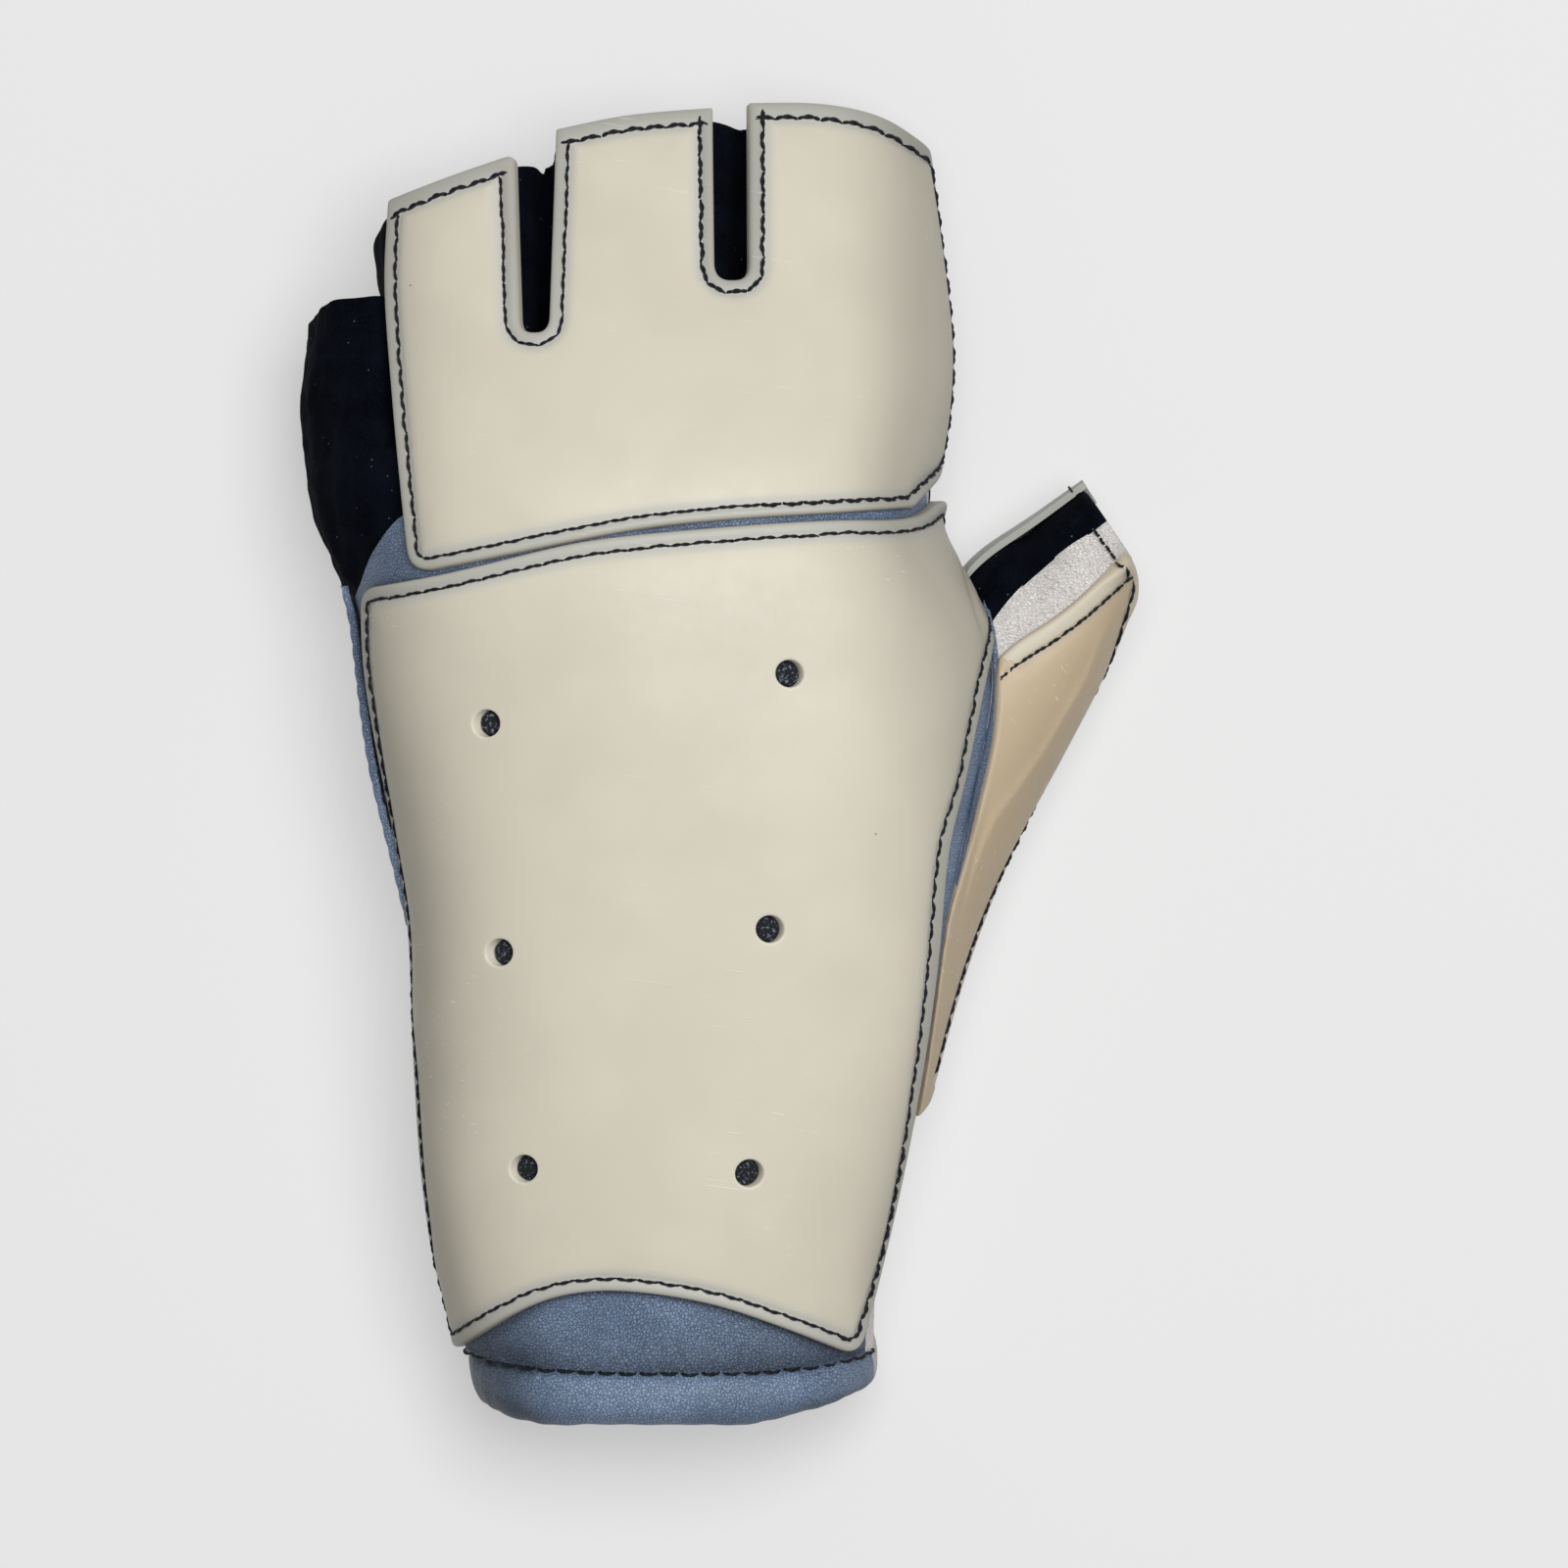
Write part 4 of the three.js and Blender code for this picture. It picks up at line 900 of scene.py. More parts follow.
def fabric_finish(name, body, lint):
    """Brushed fabric: a very dark matt nap with a soft sheen, uneven in patches, and rare pale lint."""
    f = Finish(name, Roughness=0.9, Sheen_Weight=0.004, Sheen_Roughness=0.5, Specular_IOR_Level=0.03)
    nap = f.noise(0.5, detail=4.0, rough=0.65)
    patch = f.noise(7.0, detail=3.0)
    tone = f.mixed(f.step(patch, 0.3, 0.7), times(body, 0.6), times(body, 1.5))
    tone = f.mixed(f.step(nap, 0.45, 0.75, 0.0, 0.5), tone, times(body, 3))
    tone = f.mixed(f.step(f.cells(2.6), 0.05, 0.08, 0.8, 0.0), tone, lint)
    f.set("Base Color", tone)
    f.set("Normal", f.bump(nap, 0.12, under=f.bump(patch, 0.4)))
    return f.material


def thread_finish():
    """Thick blue-black thread: a faint sheen, with a tone that changes from stitch to stitch."""
    f = Finish("thread", Roughness=0.6, Sheen_Weight=0.03, Specular_IOR_Level=0.25)
    tone = f.mixed(f.step(f.noise(1.6, detail=2.0), 0.35, 0.65), *THREAD_TONES)
    f.set("Base Color", tone)
    f.set("Normal", f.bump(f.noise(0.18, detail=2.0), 0.03))
    return f.material


def lining_finish():
    """Dark lining with pale flecks of nap."""
    f = Finish("lining", Roughness=0.9)
    flecks = f.step(f.noise(0.6, detail=2.0, rough=0.7), 0.56, 0.64)
    f.set("Base Color", f.mixed(flecks, *LINING_TONES))
    f.set("Normal", f.bump(f.noise(0.5, detail=3.0), 0.15))
    return f.material


CREAM = plate_finish("moulded_plate", colour(207, 201, 184), colour(170, 170, 162), colour(184, 186, 184), 8)
TAN = plate_finish("thumb_plate", colour(190, 172, 144), colour(188, 181, 164), colour(170, 160, 144), 55, 0.3)
INNER = plate_finish("thumb_inner_plate", colour(170, 170, 164), colour(158, 159, 155), colour(160, 160, 156), 55)
BLUE = leather_finish("blue_leather", colour(131, 152, 182), colour(110, 130, 159), colour(172, 188, 210), 0.62, 0.2,
                      rough=0.44)
WHITE = leather_finish("white_leather", colour(233, 229, 226), colour(219, 214, 211), colour(242, 240, 238), 0.5,
                       0.12, (0, 0, 30), (0.5, 1.6, 1.0), 0.6, 0.12)
BLACK = fabric_finish("black_fabric", (0.0020, 0.0028, 0.0058), (0.10, 0.11, 0.13))
THREAD = thread_finish()
LINING = lining_finish()


# The plates: where their rows of points run inside the edge, and their rounded edges, groove and swelling.
PLATE_RINGS = (0.12, 0.3, 0.55, 0.9, 1.4, 2.0, 2.6, 3.2, 3.9, 4.8)
RIM_RADIUS, HOLE_RADIUS = 0.95, 0.4
GROOVE_DEPTH, GROOVE_REACH = 0.34, 0.75
SWELL_REACH = 3.2


def quarter_round(distance, radius):
    """How far an edge is lowered at a distance from it, where a quarter circle rounds it."""
    return radius - np.sqrt(np.maximum(radius**2 - (radius - np.clip(distance, 0, radius)) ** 2, 0))


def plate_top(puff, seed, extra):
    """A plate's outer face: a rim rounded to a quarter circle, a shallow groove under the stitches, and inside them a
    soft swelling by puff, with slow unevenness. extra(uv, edge) is added."""
    def height(uv, edge):
        rounding = quarter_round(edge["rim"], RIM_RADIUS) + quarter_round(edge["hole"], HOLE_RADIUS)
        groove = GROOVE_DEPTH * falloff(edge["seam"], GROOVE_REACH)
        swell = puff * (1 - np.exp(-((np.maximum(edge["within"], 0) / SWELL_REACH) ** 1.5)))
        uneven = 0.16 * ripple(uv, 46, seed) + 0.05 * ripple(uv, 17, seed + 1)
        smooth = GAP + PLATE - rounding - groove + swell + uneven * np.clip(edge["within"] / 6, 0, 1)
        return smooth + extra(uv, edge)
    return height


def circle(centre, radius, count=26):
    """A clockwise circle on a map, which bounds a hole."""
    turn = -2 * np.pi * np.arange(count) / count
    return centre + radius * np.stack([np.cos(turn), np.sin(turn)], axis=-1)


# The stitches' floor in the groove, and their usual distance from the rim.
SEAM_FLOOR = GAP + PLATE - 0.29
SEAM_RIM = 2.5


def plate(name, finish, chart, rows, spot, puff, seed, holes, extra, spacing=1.35, weight=None, run_on=None):
    """A moulded plate with its rows of stitches, which sit in the groove's floor. run_on(line) lengthens a row."""
    loop, inset = outline(rows, spot)
    lines = seam_lines(loop, inset)
    layer(name + "_moulding", chart, [loop, *holes], finish, [name], plate_top(puff, seed, extra), GAP, spacing,
          PLATE_RINGS, lines, insets=inset)
    if run_on:
        lines = [run_on(line) for line in lines]

    def floor(uv):
        return SEAM_FLOOR + extra(uv, {"rim": np.full(len(uv), SEAM_RIM)})
    stitches(name + "_stitches", chart, lines, floor, seed, weight=weight)


def is_tip(line):
    """Whether a row of stitches runs across a fingertip."""
    span = np.abs(line[-1] - line[0])
    return line[:, 1].mean() > 100 and span[0] > span[1]


def longer(line, at_start, reach):
    """A line with one more point, straight on past its start or its end."""
    last, before = (line[0], line[4]) if at_start else (line[-1], line[-5])
    on = (last + unit(last - before) * reach)[None]
    return np.concatenate([on, line] if at_start else [line, on])


def edge_to_edge(line):
    """A fingertip's row of stitches run on across the rim at both ends, but for the index finger's outer corner.
    Other rows stay."""
    for at_start in (True, False):
        if is_tip(line) and line[0 if at_start else -1][0] < 40:
            line = longer(line, at_start, 2.0)
    return line


def thumb_run(line):
    """The thumb plate's upper row of stitches run on to the plate's edge next to the hand. Other rows stay."""
    corner = thumb_spot(np.array([THUMB_OUTLINE[0][:2]]))[0]
    from_start, from_end = np.linalg.norm(line[[0, -1]] - corner, axis=1)
    return longer(line, from_start < from_end, 2.6) if min(from_start, from_end) < 6 else line


def knuckle_weight(line, uv):
    """Heavier stitches across the fingertips and on the thumb's side of the lower edge."""
    low = (line[:, 1].mean() < 62) & (uv[:, 0] > 18)
    return np.where(low, 1.3, 1.3 if is_tip(line) else 1.0)


def hand_weight(line, uv):
    """Heavier stitches low on the thumb's side, a little heavier ones along the top."""
    return np.where((uv[:, 1] < -72) & (uv[:, 0] > 30), 1.35, np.where(line[:, 1].mean() > 25, 1.15, 1.0))


def knuckle_extra(uv, edge):
    """Painted shade on the two sides where they fall away, given as a lean alone, without changing the form."""
    edge["lean"] = 0.3 * np.clip((-uv[:, 0] - 34) / 22, 0, 1) ** 1.5 + 0.12 * np.clip((uv[:, 0] - 30) / 12, 0, 1)
    return 0.0


# The hand plate's corner next to the index finger, and the lines of the two creases below it, seen from above.
HAND_CORNER = HAND_OUTLINE[7][:2]
HAND_CREASES = np.array([[[41.9, 42.0], [43.2, 37.5], [45.0, 33.8], [47.2, 28.9]],
                         [[42.1, 39.3], [44.2, 33.0], [46.0, 27.5], [48.0, 22.8]]])


def hand_extra(uv, edge):
    """The curl of the corner next to the index finger, two creases below it that part the steep side into a triangle,
    and on the thumb's side a lean that paints shade, with less of the painted shade towards the cuff."""
    extra = 1.3 * falloff(np.linalg.norm(uv - hand_spot(np.array([HAND_CORNER])), axis=1), 4.5)
    for rows in HAND_CREASES:
        line = hand_spot(rows)
        line = at_lengths(line, np.arange(0, lengths_along(line)[-1], 0.4))
        extra = extra - 0.6 * falloff(nearest(uv, line)[0], 0.9)
    # Painted shade on the thumb's side, less of it towards the cuff.
    lean = np.interp(uv[:, 1], [-80, -40, -15, 15], [-0.12, -0.06, 0, 0.14])
    edge["lean"] = np.clip((uv[:, 0] - 28) / 16, 0, 1) * lean
    return extra


def thumb_extra(uv, edge):
    """The raised lip round the thumb plate's tip."""
    return 0.7 * np.clip((uv[:, 1] - THUMB_TIP_FROM) / 4, 0, 1) * falloff(edge["rim"] - 1.1, 0.9)


THUMB_TIP_FROM = float(THUMB_PLATE_MAP.to_map(np.array([0.5]), np.array([5.5]))[0, 1])
vents = [circle(spot, VENT_RADIUS) for spot in hand_spot(VENTS)]
plate("hand_plate", CREAM, HAND_MAP, HAND_OUTLINE, hand_spot, 0.55, 11, vents, hand_extra,
      weight=hand_weight)
plate("knuckle_plate", CREAM, HAND_MAP, KNUCKLE_OUTLINE, hand_spot, 0.55, 21, (), knuckle_extra,
      weight=knuckle_weight, run_on=edge_to_edge)
plate("thumb_plate", TAN, THUMB_PLATE_MAP, THUMB_OUTLINE, thumb_spot, 0.35, 31, (), thumb_extra, 0.9,
      run_on=thumb_run)


# The leather hand.
def leather_end(degrees):
    """The station where the leather ends at an angle round the hand."""
    return through_rows(LEATHER_END, (np.asarray(degrees) + 180) % 360 - 180)[..., 0]


def left_seam(station):
    """The angle in degrees of the seam between the leather's back and palm on the little finger's side."""
    return np.interp(station, SIDE_SEAMS[:, 0], SIDE_SEAMS[:, 1])


def right_seam(station):
    """The same on the thumb's side."""
    return np.interp(station, SIDE_SEAMS[:, 0], SIDE_SEAMS[:, 2])


def back_leather():
    """The back's leather: one layer from the cuff to the fingers with six vent holes, softly uneven, its front edge
    rounded over, gathered next to the cuff's seam, with painted shade next to that seam, at both sides of the cuff
    and on the little finger's side, and a painted shadow where the hand plate's edge stands over it."""
    share = np.linspace(0, 1, 160)
    ends = left_seam(leather_end(-SEAM_DEG)), right_seam(leather_end(SEAM_DEG))
    turn = ends[0] + share * (ends[1] - ends[0])
    front = HAND_MAP.to_map(turn * DEG, leather_end(turn))
    turn = left_seam(CUFF_SEAM) + share * (right_seam(CUFF_SEAM) - left_seam(CUFF_SEAM))
    rear = HAND_MAP.to_map(turn * DEG, np.full(160, LEATHER_REAR))
    sides = []
    for seam, end in ((right_seam, ends[1]), (left_seam, ends[0])):
        along = LEATHER_REAR + share[1:-1] * (leather_end(end) - LEATHER_REAR)
        sides.append(HAND_MAP.to_map(seam(along) * DEG, along))
    loop = np.concatenate([rear, sides[0], front[::-1], sides[1][::-1]])
    holes = [circle(spot, VENT_RADIUS + 0.7, 18) for spot in hand_spot(VENTS)]
    plate_edge = outline(HAND_OUTLINE, hand_spot)[0]

    def top(uv, edge):
        u, v = uv.T
        edge["pucker"] = falloff(v - CUFF_SEAM, 4.5)
        # Painted shade by the cuff's seam, at the cuff's sides and on the little finger's side, and a painted shadow
        # under the hand plate's edge.
        seam = 0.8 * np.exp(-((np.maximum(v - CUFF_SEAM, 0) / 5) ** 1.3))
        sides = (0.25 * eased(u, -15, 20) + 0.5 * eased(-u, 18, 32)) * eased(-v, 60, 90)
        plate_edge_shadow = 0.6 * falloff(nearest(uv, plate_edge)[0], 1.3)
        edge["shade"] = np.clip(seam + sides + plate_edge_shadow + 0.4 * eased(v, 15, 35) * eased(-u, 40, 60), 0, 1)
        return 0.05 + 0.12 * ripple(uv, 16, 5) - quarter_round(edge["rim"], 0.7)
    layer("back_leather", HAND_MAP, [loop, *holes], BLUE, ["back_panel"], top, -LEATHER, 1.2,
          (0.25, 0.7, 1.4), measure=0.0)


def vent_cushions():
    """The lining where it swells into the vent holes: in each a squarish dome, whose top stays below the plate's
    face."""
    t = np.linspace(0, np.pi / 2 - 0.05, 9)
    reach = np.concatenate([[0.05, 1.0], np.cos(t) ** 0.6]) * (VENT_RADIUS - 0.08)
    rise = np.concatenate([[-0.6, -0.6], -0.3 + 1.8 * np.sin(t) ** 0.6])
    turn = np.linspace(0, 2 * np.pi, 28, endpoint=False)
    ring = np.stack([np.cos(turn), np.sin(turn)], axis=-1)
    uv = hand_spot(VENTS)[:, None, None] + reach[:, None, None] * ring
    points = HAND_MAP.place(uv, rise[:, None] + 0.08 * ripple(uv, 1.6, 71))
    faces = capped_tubes(*uv.shape[1:3], len(VENTS))
    make_piece("vent_cushions", points.reshape(-1, 3), faces, LINING, ())


def palm_leather():
    """The palm's leather: a wall from the thumb's side round the underside to the little finger's side. Its columns
    run with the angle and its rows along the hand."""
    turn = np.linspace(SEAM_DEG, 360 - SEAM_DEG, 150)
    station = LEATHER_REAR + np.linspace(0, 1, 110)[:, None] * (leather_end(turn) - LEATHER_REAR)
    share = (turn - SEAM_DEG) / (360 - 2 * SEAM_DEG)
    turns = (turn + (right_seam(station) - SEAM_DEG) * (1 - share) + (left_seam(station) + SEAM_DEG) * share) * DEG
    outer, inner = hand_point(turns, station, 0.0), hand_point(turns, station, -LEATHER)
    shell("palm_leather", outer, inner, WHITE, ["palm_panel"])


# The cloth's pressure, how many frames it works, and how far in millimetres it may move a point.
PRESSURE, PRESSURE_FRAMES = 3.0, 20
MOST_MOVED = 0.8


def puffed(piece, held):
    """A closed mesh run as cloth under pressure, while the points with a hold near 1 stay where they are. No point
    moves further than the most allowed. The result is put into the mesh."""
    before = vertex_arrays(piece.data)[0]
    group = piece.vertex_groups.new(name="held")
    for level in np.unique(np.round(held, 1)):
        group.add(np.flatnonzero(np.round(held, 1) == level).tolist(), float(level), "REPLACE")
    cloth = piece.modifiers.new("pressure", "CLOTH")
    settings = cloth.settings
    settings.quality, settings.mass, settings.air_damping = 4, 0.3, 4
    settings.tension_stiffness = settings.compression_stiffness = settings.shear_stiffness = 12
    settings.bending_stiffness = 0.3
    settings.use_pressure, settings.uniform_pressure_force = True, PRESSURE
    settings.vertex_group_mass = "held"
    settings.effector_weights.gravity = 0
    cloth.point_cache.frame_start, cloth.point_cache.frame_end = 1, PRESSURE_FRAMES
    for number in range(1, PRESSURE_FRAMES + 1):
        bpy.context.scene.frame_set(number)
    moved = piece.evaluated_get(bpy.context.evaluated_depsgraph_get()).data
    shift = vertex_arrays(moved)[0] - before
    far = np.linalg.norm(shift, axis=1, keepdims=True)
    piece.modifiers.clear()
    piece.vertex_groups.clear()
    bpy.context.scene.frame_set(1)
    move_points(piece.data, before + shift * np.minimum(1, MOST_MOVED / np.maximum(far, 1e-6)))
    piece.data.update()


# The length round the wrist that its puckers are counted along, and the radius of the ring that its waves run on.
WRIST_GIRTH, WRIST_RADIUS = 260, 41


def cuff_roll():
    """The padded roll: a squarish ring round the wrist that puckers at its seam. Round the section goes a circle
    squared off a little, swelling and pinching along the wrist by random waves, and the side next to the leather is
    pulled in by the stitches. It stands less proud at the two sides and is narrower on the thumb's side. Cloth under
    pressure is then run on it, which moves no point by more than 0.01 mm, so its form is the one made here."""
    around = np.linspace(0, 2 * np.pi, 40, endpoint=False)
    wrist = np.linspace(0, 2 * np.pi, 420, endpoint=False)
    s, c = np.sin(around)[None, :], np.cos(around)[None, :]
    turn = wrist[:, None] * np.ones_like(s)
    girth = WRIST_GIRTH * wrist / (2 * np.pi)
    ring = np.stack([np.cos(wrist), np.sin(wrist)], axis=-1) * WRIST_RADIUS
    swell = 1 + 0.05 * ripple(ring, 26, 41)[:, None] + 0.03 * ripple(ring, 7, 42)[:, None]
    pucker = 0.35 * falloff(s - 1, 0.5) * np.cos(2 * np.pi * girth / PITCH)[:, None]
    side = np.sin(wrist)[:, None]
    proud = ROLL["proud"] - np.where(side < 0, ROLL["left"], ROLL["right"]) * np.abs(side) ** 5
    middle, reach = (proud - ROLL["inside"]) / 2, (proud + ROLL["inside"]) / 2
    taper = np.clip((side - 0.35) / 0.45, 0, 1)
    half = ROLL["half"] * np.where(s < 0, 1 - 0.48 * taper, 1)
    drift = 0.4 * ripple(ring, 60, 43)[:, None]
    station = ROLL["station"] + 0.5 * taper + half * signed_power(s, 0.85) * swell + drift
    out = middle + (reach * swell + pucker * 0.5) * signed_power(c, 0.85) - 0.5 * falloff(s - 1, 0.35)
    points = hand_point(turn, station, out)
    faces = [grid_faces(*points.shape[:2], True, True)[:, ::-1]]
    gathered = falloff(s - 1, 0.5) * (c > -0.2) * np.ones_like(turn)
    # Painted light along its top, and painted shade in the seam, under its lower edge and at both ends.
    shade = -0.1 + 0.46 * eased(-s, -0.1, 0.6) + 0.7 * np.clip((s - 0.7) / 0.3, 0, 1)
    shade = np.clip(shade + np.where(side < 0, 0.95, 0.5) * eased(np.abs(side), 0.42, 0.75), -1, 1)
    piece = make_piece("cuff_padding", points.reshape(-1, 3), faces, BLUE, ["cuff_roll"],
                       fields={"pucker": gathered.ravel(), "shade": shade.ravel()})
    # The palm's half of the roll is of the palm's leather.
    piece.data.materials.append(WHITE)
    palm = (turn / DEG > right_seam(CUFF_SEAM) + 2) & (turn / DEG < 360 - SEAM_DEG)
    piece.data.polygons.foreach_set("material_index", palm.ravel().astype(np.int32))
    resting = np.clip(1.5 - np.maximum(points[..., 2], 0), 0, 1)
    held = np.maximum(falloff(s - 1, 0.3) * np.ones_like(turn), np.maximum(-c, 0) + resting)
    puffed(piece, np.clip(held, 0, 1).ravel())
    sewn = np.linspace(-78, right_seam(CUFF_SEAM) + 6, 300) * DEG
    line = HAND_MAP.to_map(sewn, np.full(len(sewn), CUFF_SEAM + 0.5))
    stitches("cuff_stitches", HAND_MAP, [line], 0.75, 44, strand=0.22, bow=0.1, sink=0.35, gap=0.16)


def welt_face(across, station, out):
    """The upper face of the seam edge on the little finger's side, by the distance across it from the hand, raised
    by out."""
    across, station = across + 0 * station, station + 0 * across
    seam = hand_point(-SEAM_DEG * DEG + 0 * across, station, across)
    return seam + np.array([0, 0, 1.0]) * (WELT_THICK + np.asarray(out)[..., None])


WELT_STATIONS = np.arange(-45, 50.5, 1.0)
WELT_MAP = Map(welt_face, np.arange(0, 8.1, 0.25), WELT_STATIONS, WELT_STATIONS, turn=-1)


def side_welt():
    """The seam edge on the little finger's side: a flat strip that stands out from the hand, whose outer edge bulges
    between the stitches."""
    share = np.linspace(0, 1, 400)
    station = -36 + share * 72
    width = through_rows(WELT, station)[:, 0] + 0.2 * np.abs(np.sin(np.pi * station / PITCH)) * (station > -30)
    around = np.linspace(0, 2 * np.pi, 16, endpoint=False)
    out = 0.2 + (width[:, None] + 0.3) * (0.5 + 0.5 * signed_power(np.cos(around), 0.7))
    seat = hand_point(np.full(out.shape, -SEAM_DEG * DEG), np.broadcast_to(station[:, None], out.shape), out)
    thick = WELT_THICK * np.sqrt(np.clip(np.minimum(share, 1 - share) * 40, 0.003, 1))[:, None]
    seat[..., 2] += thick * signed_power(np.sin(around), 0.7)
    make_piece("welt_edge", seat.reshape(-1, 3), capped_tubes(*seat.shape[:2]), BLUE, ["side_welt"])
    run = np.linspace(-20, 35, 200)
    line = np.column_stack([-(through_rows(WELT, run)[:, 0] - 1.2), run])
    stitches("welt_stitches", WELT_MAP, [line[::-1]], 0.1, 45, bow=0.1)


back_leather()
vent_cushions()
palm_leather()
cuff_roll()
side_welt()


# The thumb.
PLACE_LENGTH = 14
HEM_RADIUS = 1.2


def thumb_wall(name, low, high, outs, finish, nodes, places, seed, fold=0.25, bead=0.35, shade=0.0,
               feather=0.0):
    """A part of the thumb's wall between two angles at each place, gently folded, its tip rounded over like a turned
    hem that stands out as a bead. Over the share feather from its high edge it sinks into what it lies on."""
    place = np.linspace(*places, 150)[:, None] * np.ones(90)
    share = np.linspace(0, 1, 90)
    turns = (high(place) + (low(place) - high(place)) * share) * DEG
    spot = THUMB_MAP.to_map(turns.ravel(), place.ravel()).reshape(*place.shape, 2)
    from_tip = (places[1] - place) * PLACE_LENGTH
    rounding = 0.75 * quarter_round(from_tip, HEM_RADIUS)
    folds = fold * ripple(spot * np.array([1.0, 0.45]), 9, seed) + 0.5 * fold * ripple(spot, 24, seed + 1)
    hem = bead * falloff(from_tip - 1.5, 1.6)
    sunk = (outs[1] + 0.35) * (1 - eased(share, -1e-3, feather)) if feather else 0.0
    outer = thumb_skin(turns, place, outs[1] + folds - rounding + hem - sunk)
    inner = thumb_skin(turns, place, outs[0] + 0 * folds)
    shell(name, outer, inner, finish, nodes, {"shade": shade})


def leather_low(place):
    """The angle of the white leather's lower edge, under the thumb plate."""
    return np.interp(place, [3.3, 3.7], [-140, -96])


def split(place):
    """The angle of the seam between the thumb's white leather and its fabric."""
    return through_rows(THUMB_SPLIT, place)[..., 0]


def gusset_low(place):
    """The angle of the gusset's edge on the thumb, under the thumb plate and, past its corner, on the leather."""
    return np.interp(place, [0.4, 1.6, 2.8, 3.4, 3.6, 3.72, 3.84, 3.95], [38, 46, 56, 80, 95, 99, 108, 124])


def gusset_high(place):
    """The angle where the gusset meets the hand."""
    return np.interp(place, [0.4, 3.0, 3.4, 3.6, 3.95], [108, 112, 118, 126, 133])


thumb_wall("thumb_leather_wall", leather_low, split, (-LEATHER, 0.0), WHITE, ["thumb_leather"],
           (0.7, 6.1), 51)
# The gusset carries painted shade, the same all over.
thumb_wall("thumb_gusset", gusset_low, gusset_high, (-0.7, 0.5), BLUE, (), (0.4, 3.95), 55, 0.1, 0.0,
           0.4, 0.25)
thumb_wall("thumb_fabric", lambda place: split(place) - 1, lambda place: 264 + 0 * place, (-1.8, -0.3), BLACK,
           ["thumb_sleeve"], (3.3, 6.1), 53, 0.5, 0.8)


def inner_plate():
    """The thin plate on the thumb's side that faces the index finger."""
    turn = np.linspace(240, 160, 40) * DEG
    place = np.linspace(3.8, 6.15, 80)[:, None] * np.ones_like(turn)
    turns = np.broadcast_to(turn, place.shape)
    outer, inner = thumb_skin(turns, place, GAP + 1.3), thumb_skin(turns, place, GAP)
    shell("thumb_inner_moulding", outer, inner, INNER, ["thumb_inner_plate"],
          {"rim": 2.0, "within": 5.0, "hole": FAR})


inner_plate()


def thumb_stitches():
    """The hem's short stitches round the white leather's tip, which go on over the plate's rim to its corner, and the
    one across the inner plate's edge."""
    hem = THUMB_MAP.to_map(np.linspace(99, 62, 60) * DEG, np.full(60, 5.86))
    inner_map = Map(thumb_skin, np.arange(130, 250.5, 0.5) * DEG, MAP_PLACES, MAP_LENGTHS, turn=-1)
    across = inner_map.to_map(np.linspace(158, 184, 40) * DEG, np.full(40, 5.92))
    corner = np.array([[5.84, 66], [5.88, 60], [5.92, 54], [5.92, 48], [5.86, 45]])
    stitches("thumb_hem_stitches", THUMB_MAP, [hem], 0.6, 57, 2.0, 0.2, 0.12, gap=0.15)
    stitches("thumb_corner_stitches", THUMB_PLATE_MAP, [thumb_spot(corner)], GAP + PLATE + 0.3, 59, 2.0, 0.2)
    stitches("inner_plate_stitch", inner_map, [across], GAP + 1.3, 58, 4.5, 0.15, 0.05)


thumb_stitches()


# The fingers.
def back_height(x, station):
    """The height of the hand's back above x at a station."""
    middle, left, right, top, side, _bottom, _lean = hand_sizes(station)
    share = np.clip((x - middle) / np.where(x < middle, left, right), -1, 1)
    return side + (top - side) * np.cos(np.arcsin(signed_power(share, 1 / BACK_POWER))) ** BACK_POWER


def finger_point(rows, angle, station):
    """A point of a finger sleeve: a squarish oval whose upper half follows the hand's back just below it."""
    low, high = through_rows(rows, station).T
    x = (low + high) / 2 + (high - low) / 2 * signed_power(np.sin(angle), FINGER_POWER)
    _middle, _left, _right, top, side, bottom, lean = hand_sizes(station)
    side = 0.9 * side
    reach = np.where(np.cos(angle) > 0, back_height(x, station) - 0.4 - side, side - np.maximum(bottom, 0) - 1.0)
    z = side + reach * signed_power(np.cos(angle), FINGER_POWER)
    return np.stack([x, station + lean * (top - z), z], axis=-1)


def plain_mesh(name, points, faces):
    """A bare mesh object from points in millimetres."""
    mesh = bpy.data.meshes.new(name)
    mesh.from_pydata((points * MM).tolist(), [], faces)
    piece = bpy.data.objects.new(name, mesh)
    bpy.context.collection.objects.link(piece)
    return piece


def solid_of(grids, name, voxel, smoothing):
    """One closed skin round several closed tubes: their union in small cubes, then smoothed."""
    points, faces, first = [], [], 0
    for grid in grids:
        points.append(grid.reshape(-1, 3))
        for part in capped_tubes(*grid.shape[:2]):
            faces += (part[:, ::-1] + first).tolist()
        first += len(points[-1])
    piece = plain_mesh(name, np.concatenate(points), faces)
    remesh = piece.modifiers.new("cubes", "REMESH")
    remesh.mode, remesh.voxel_size = "VOXEL", voxel * MM
    smooth = piece.modifiers.new("smooth", "SMOOTH")
    smooth.factor, smooth.iterations = 0.5, smoothing
    made = bpy.data.meshes.new_from_object(piece.evaluated_get(bpy.context.evaluated_depsgraph_get()))
    bpy.data.objects.remove(piece)
    return made


def hand_form(stations):
    """The hand's form through stations, as a grid of rings."""
    station = np.asarray(stations, float)[:, None] * np.ones(120)
    turn = np.broadcast_to(np.linspace(0, 2 * np.pi, 120, endpoint=False), station.shape)
    return hand_point(turn, station)


def finger_form(rows, beyond):
    """A finger sleeve's form as a grid of rings, which goes on past its tip."""
    station = np.linspace(rows[0][0], rows[-1][0] + beyond, 34)[:, None] * np.ones(64)
    turn = np.broadcast_to(np.linspace(0, 2 * np.pi, 64, endpoint=False), station.shape)
    return finger_point(np.array(rows), turn.ravel(), station.ravel()).reshape(*station.shape, 3)


LEAST_HEIGHT = 0.05


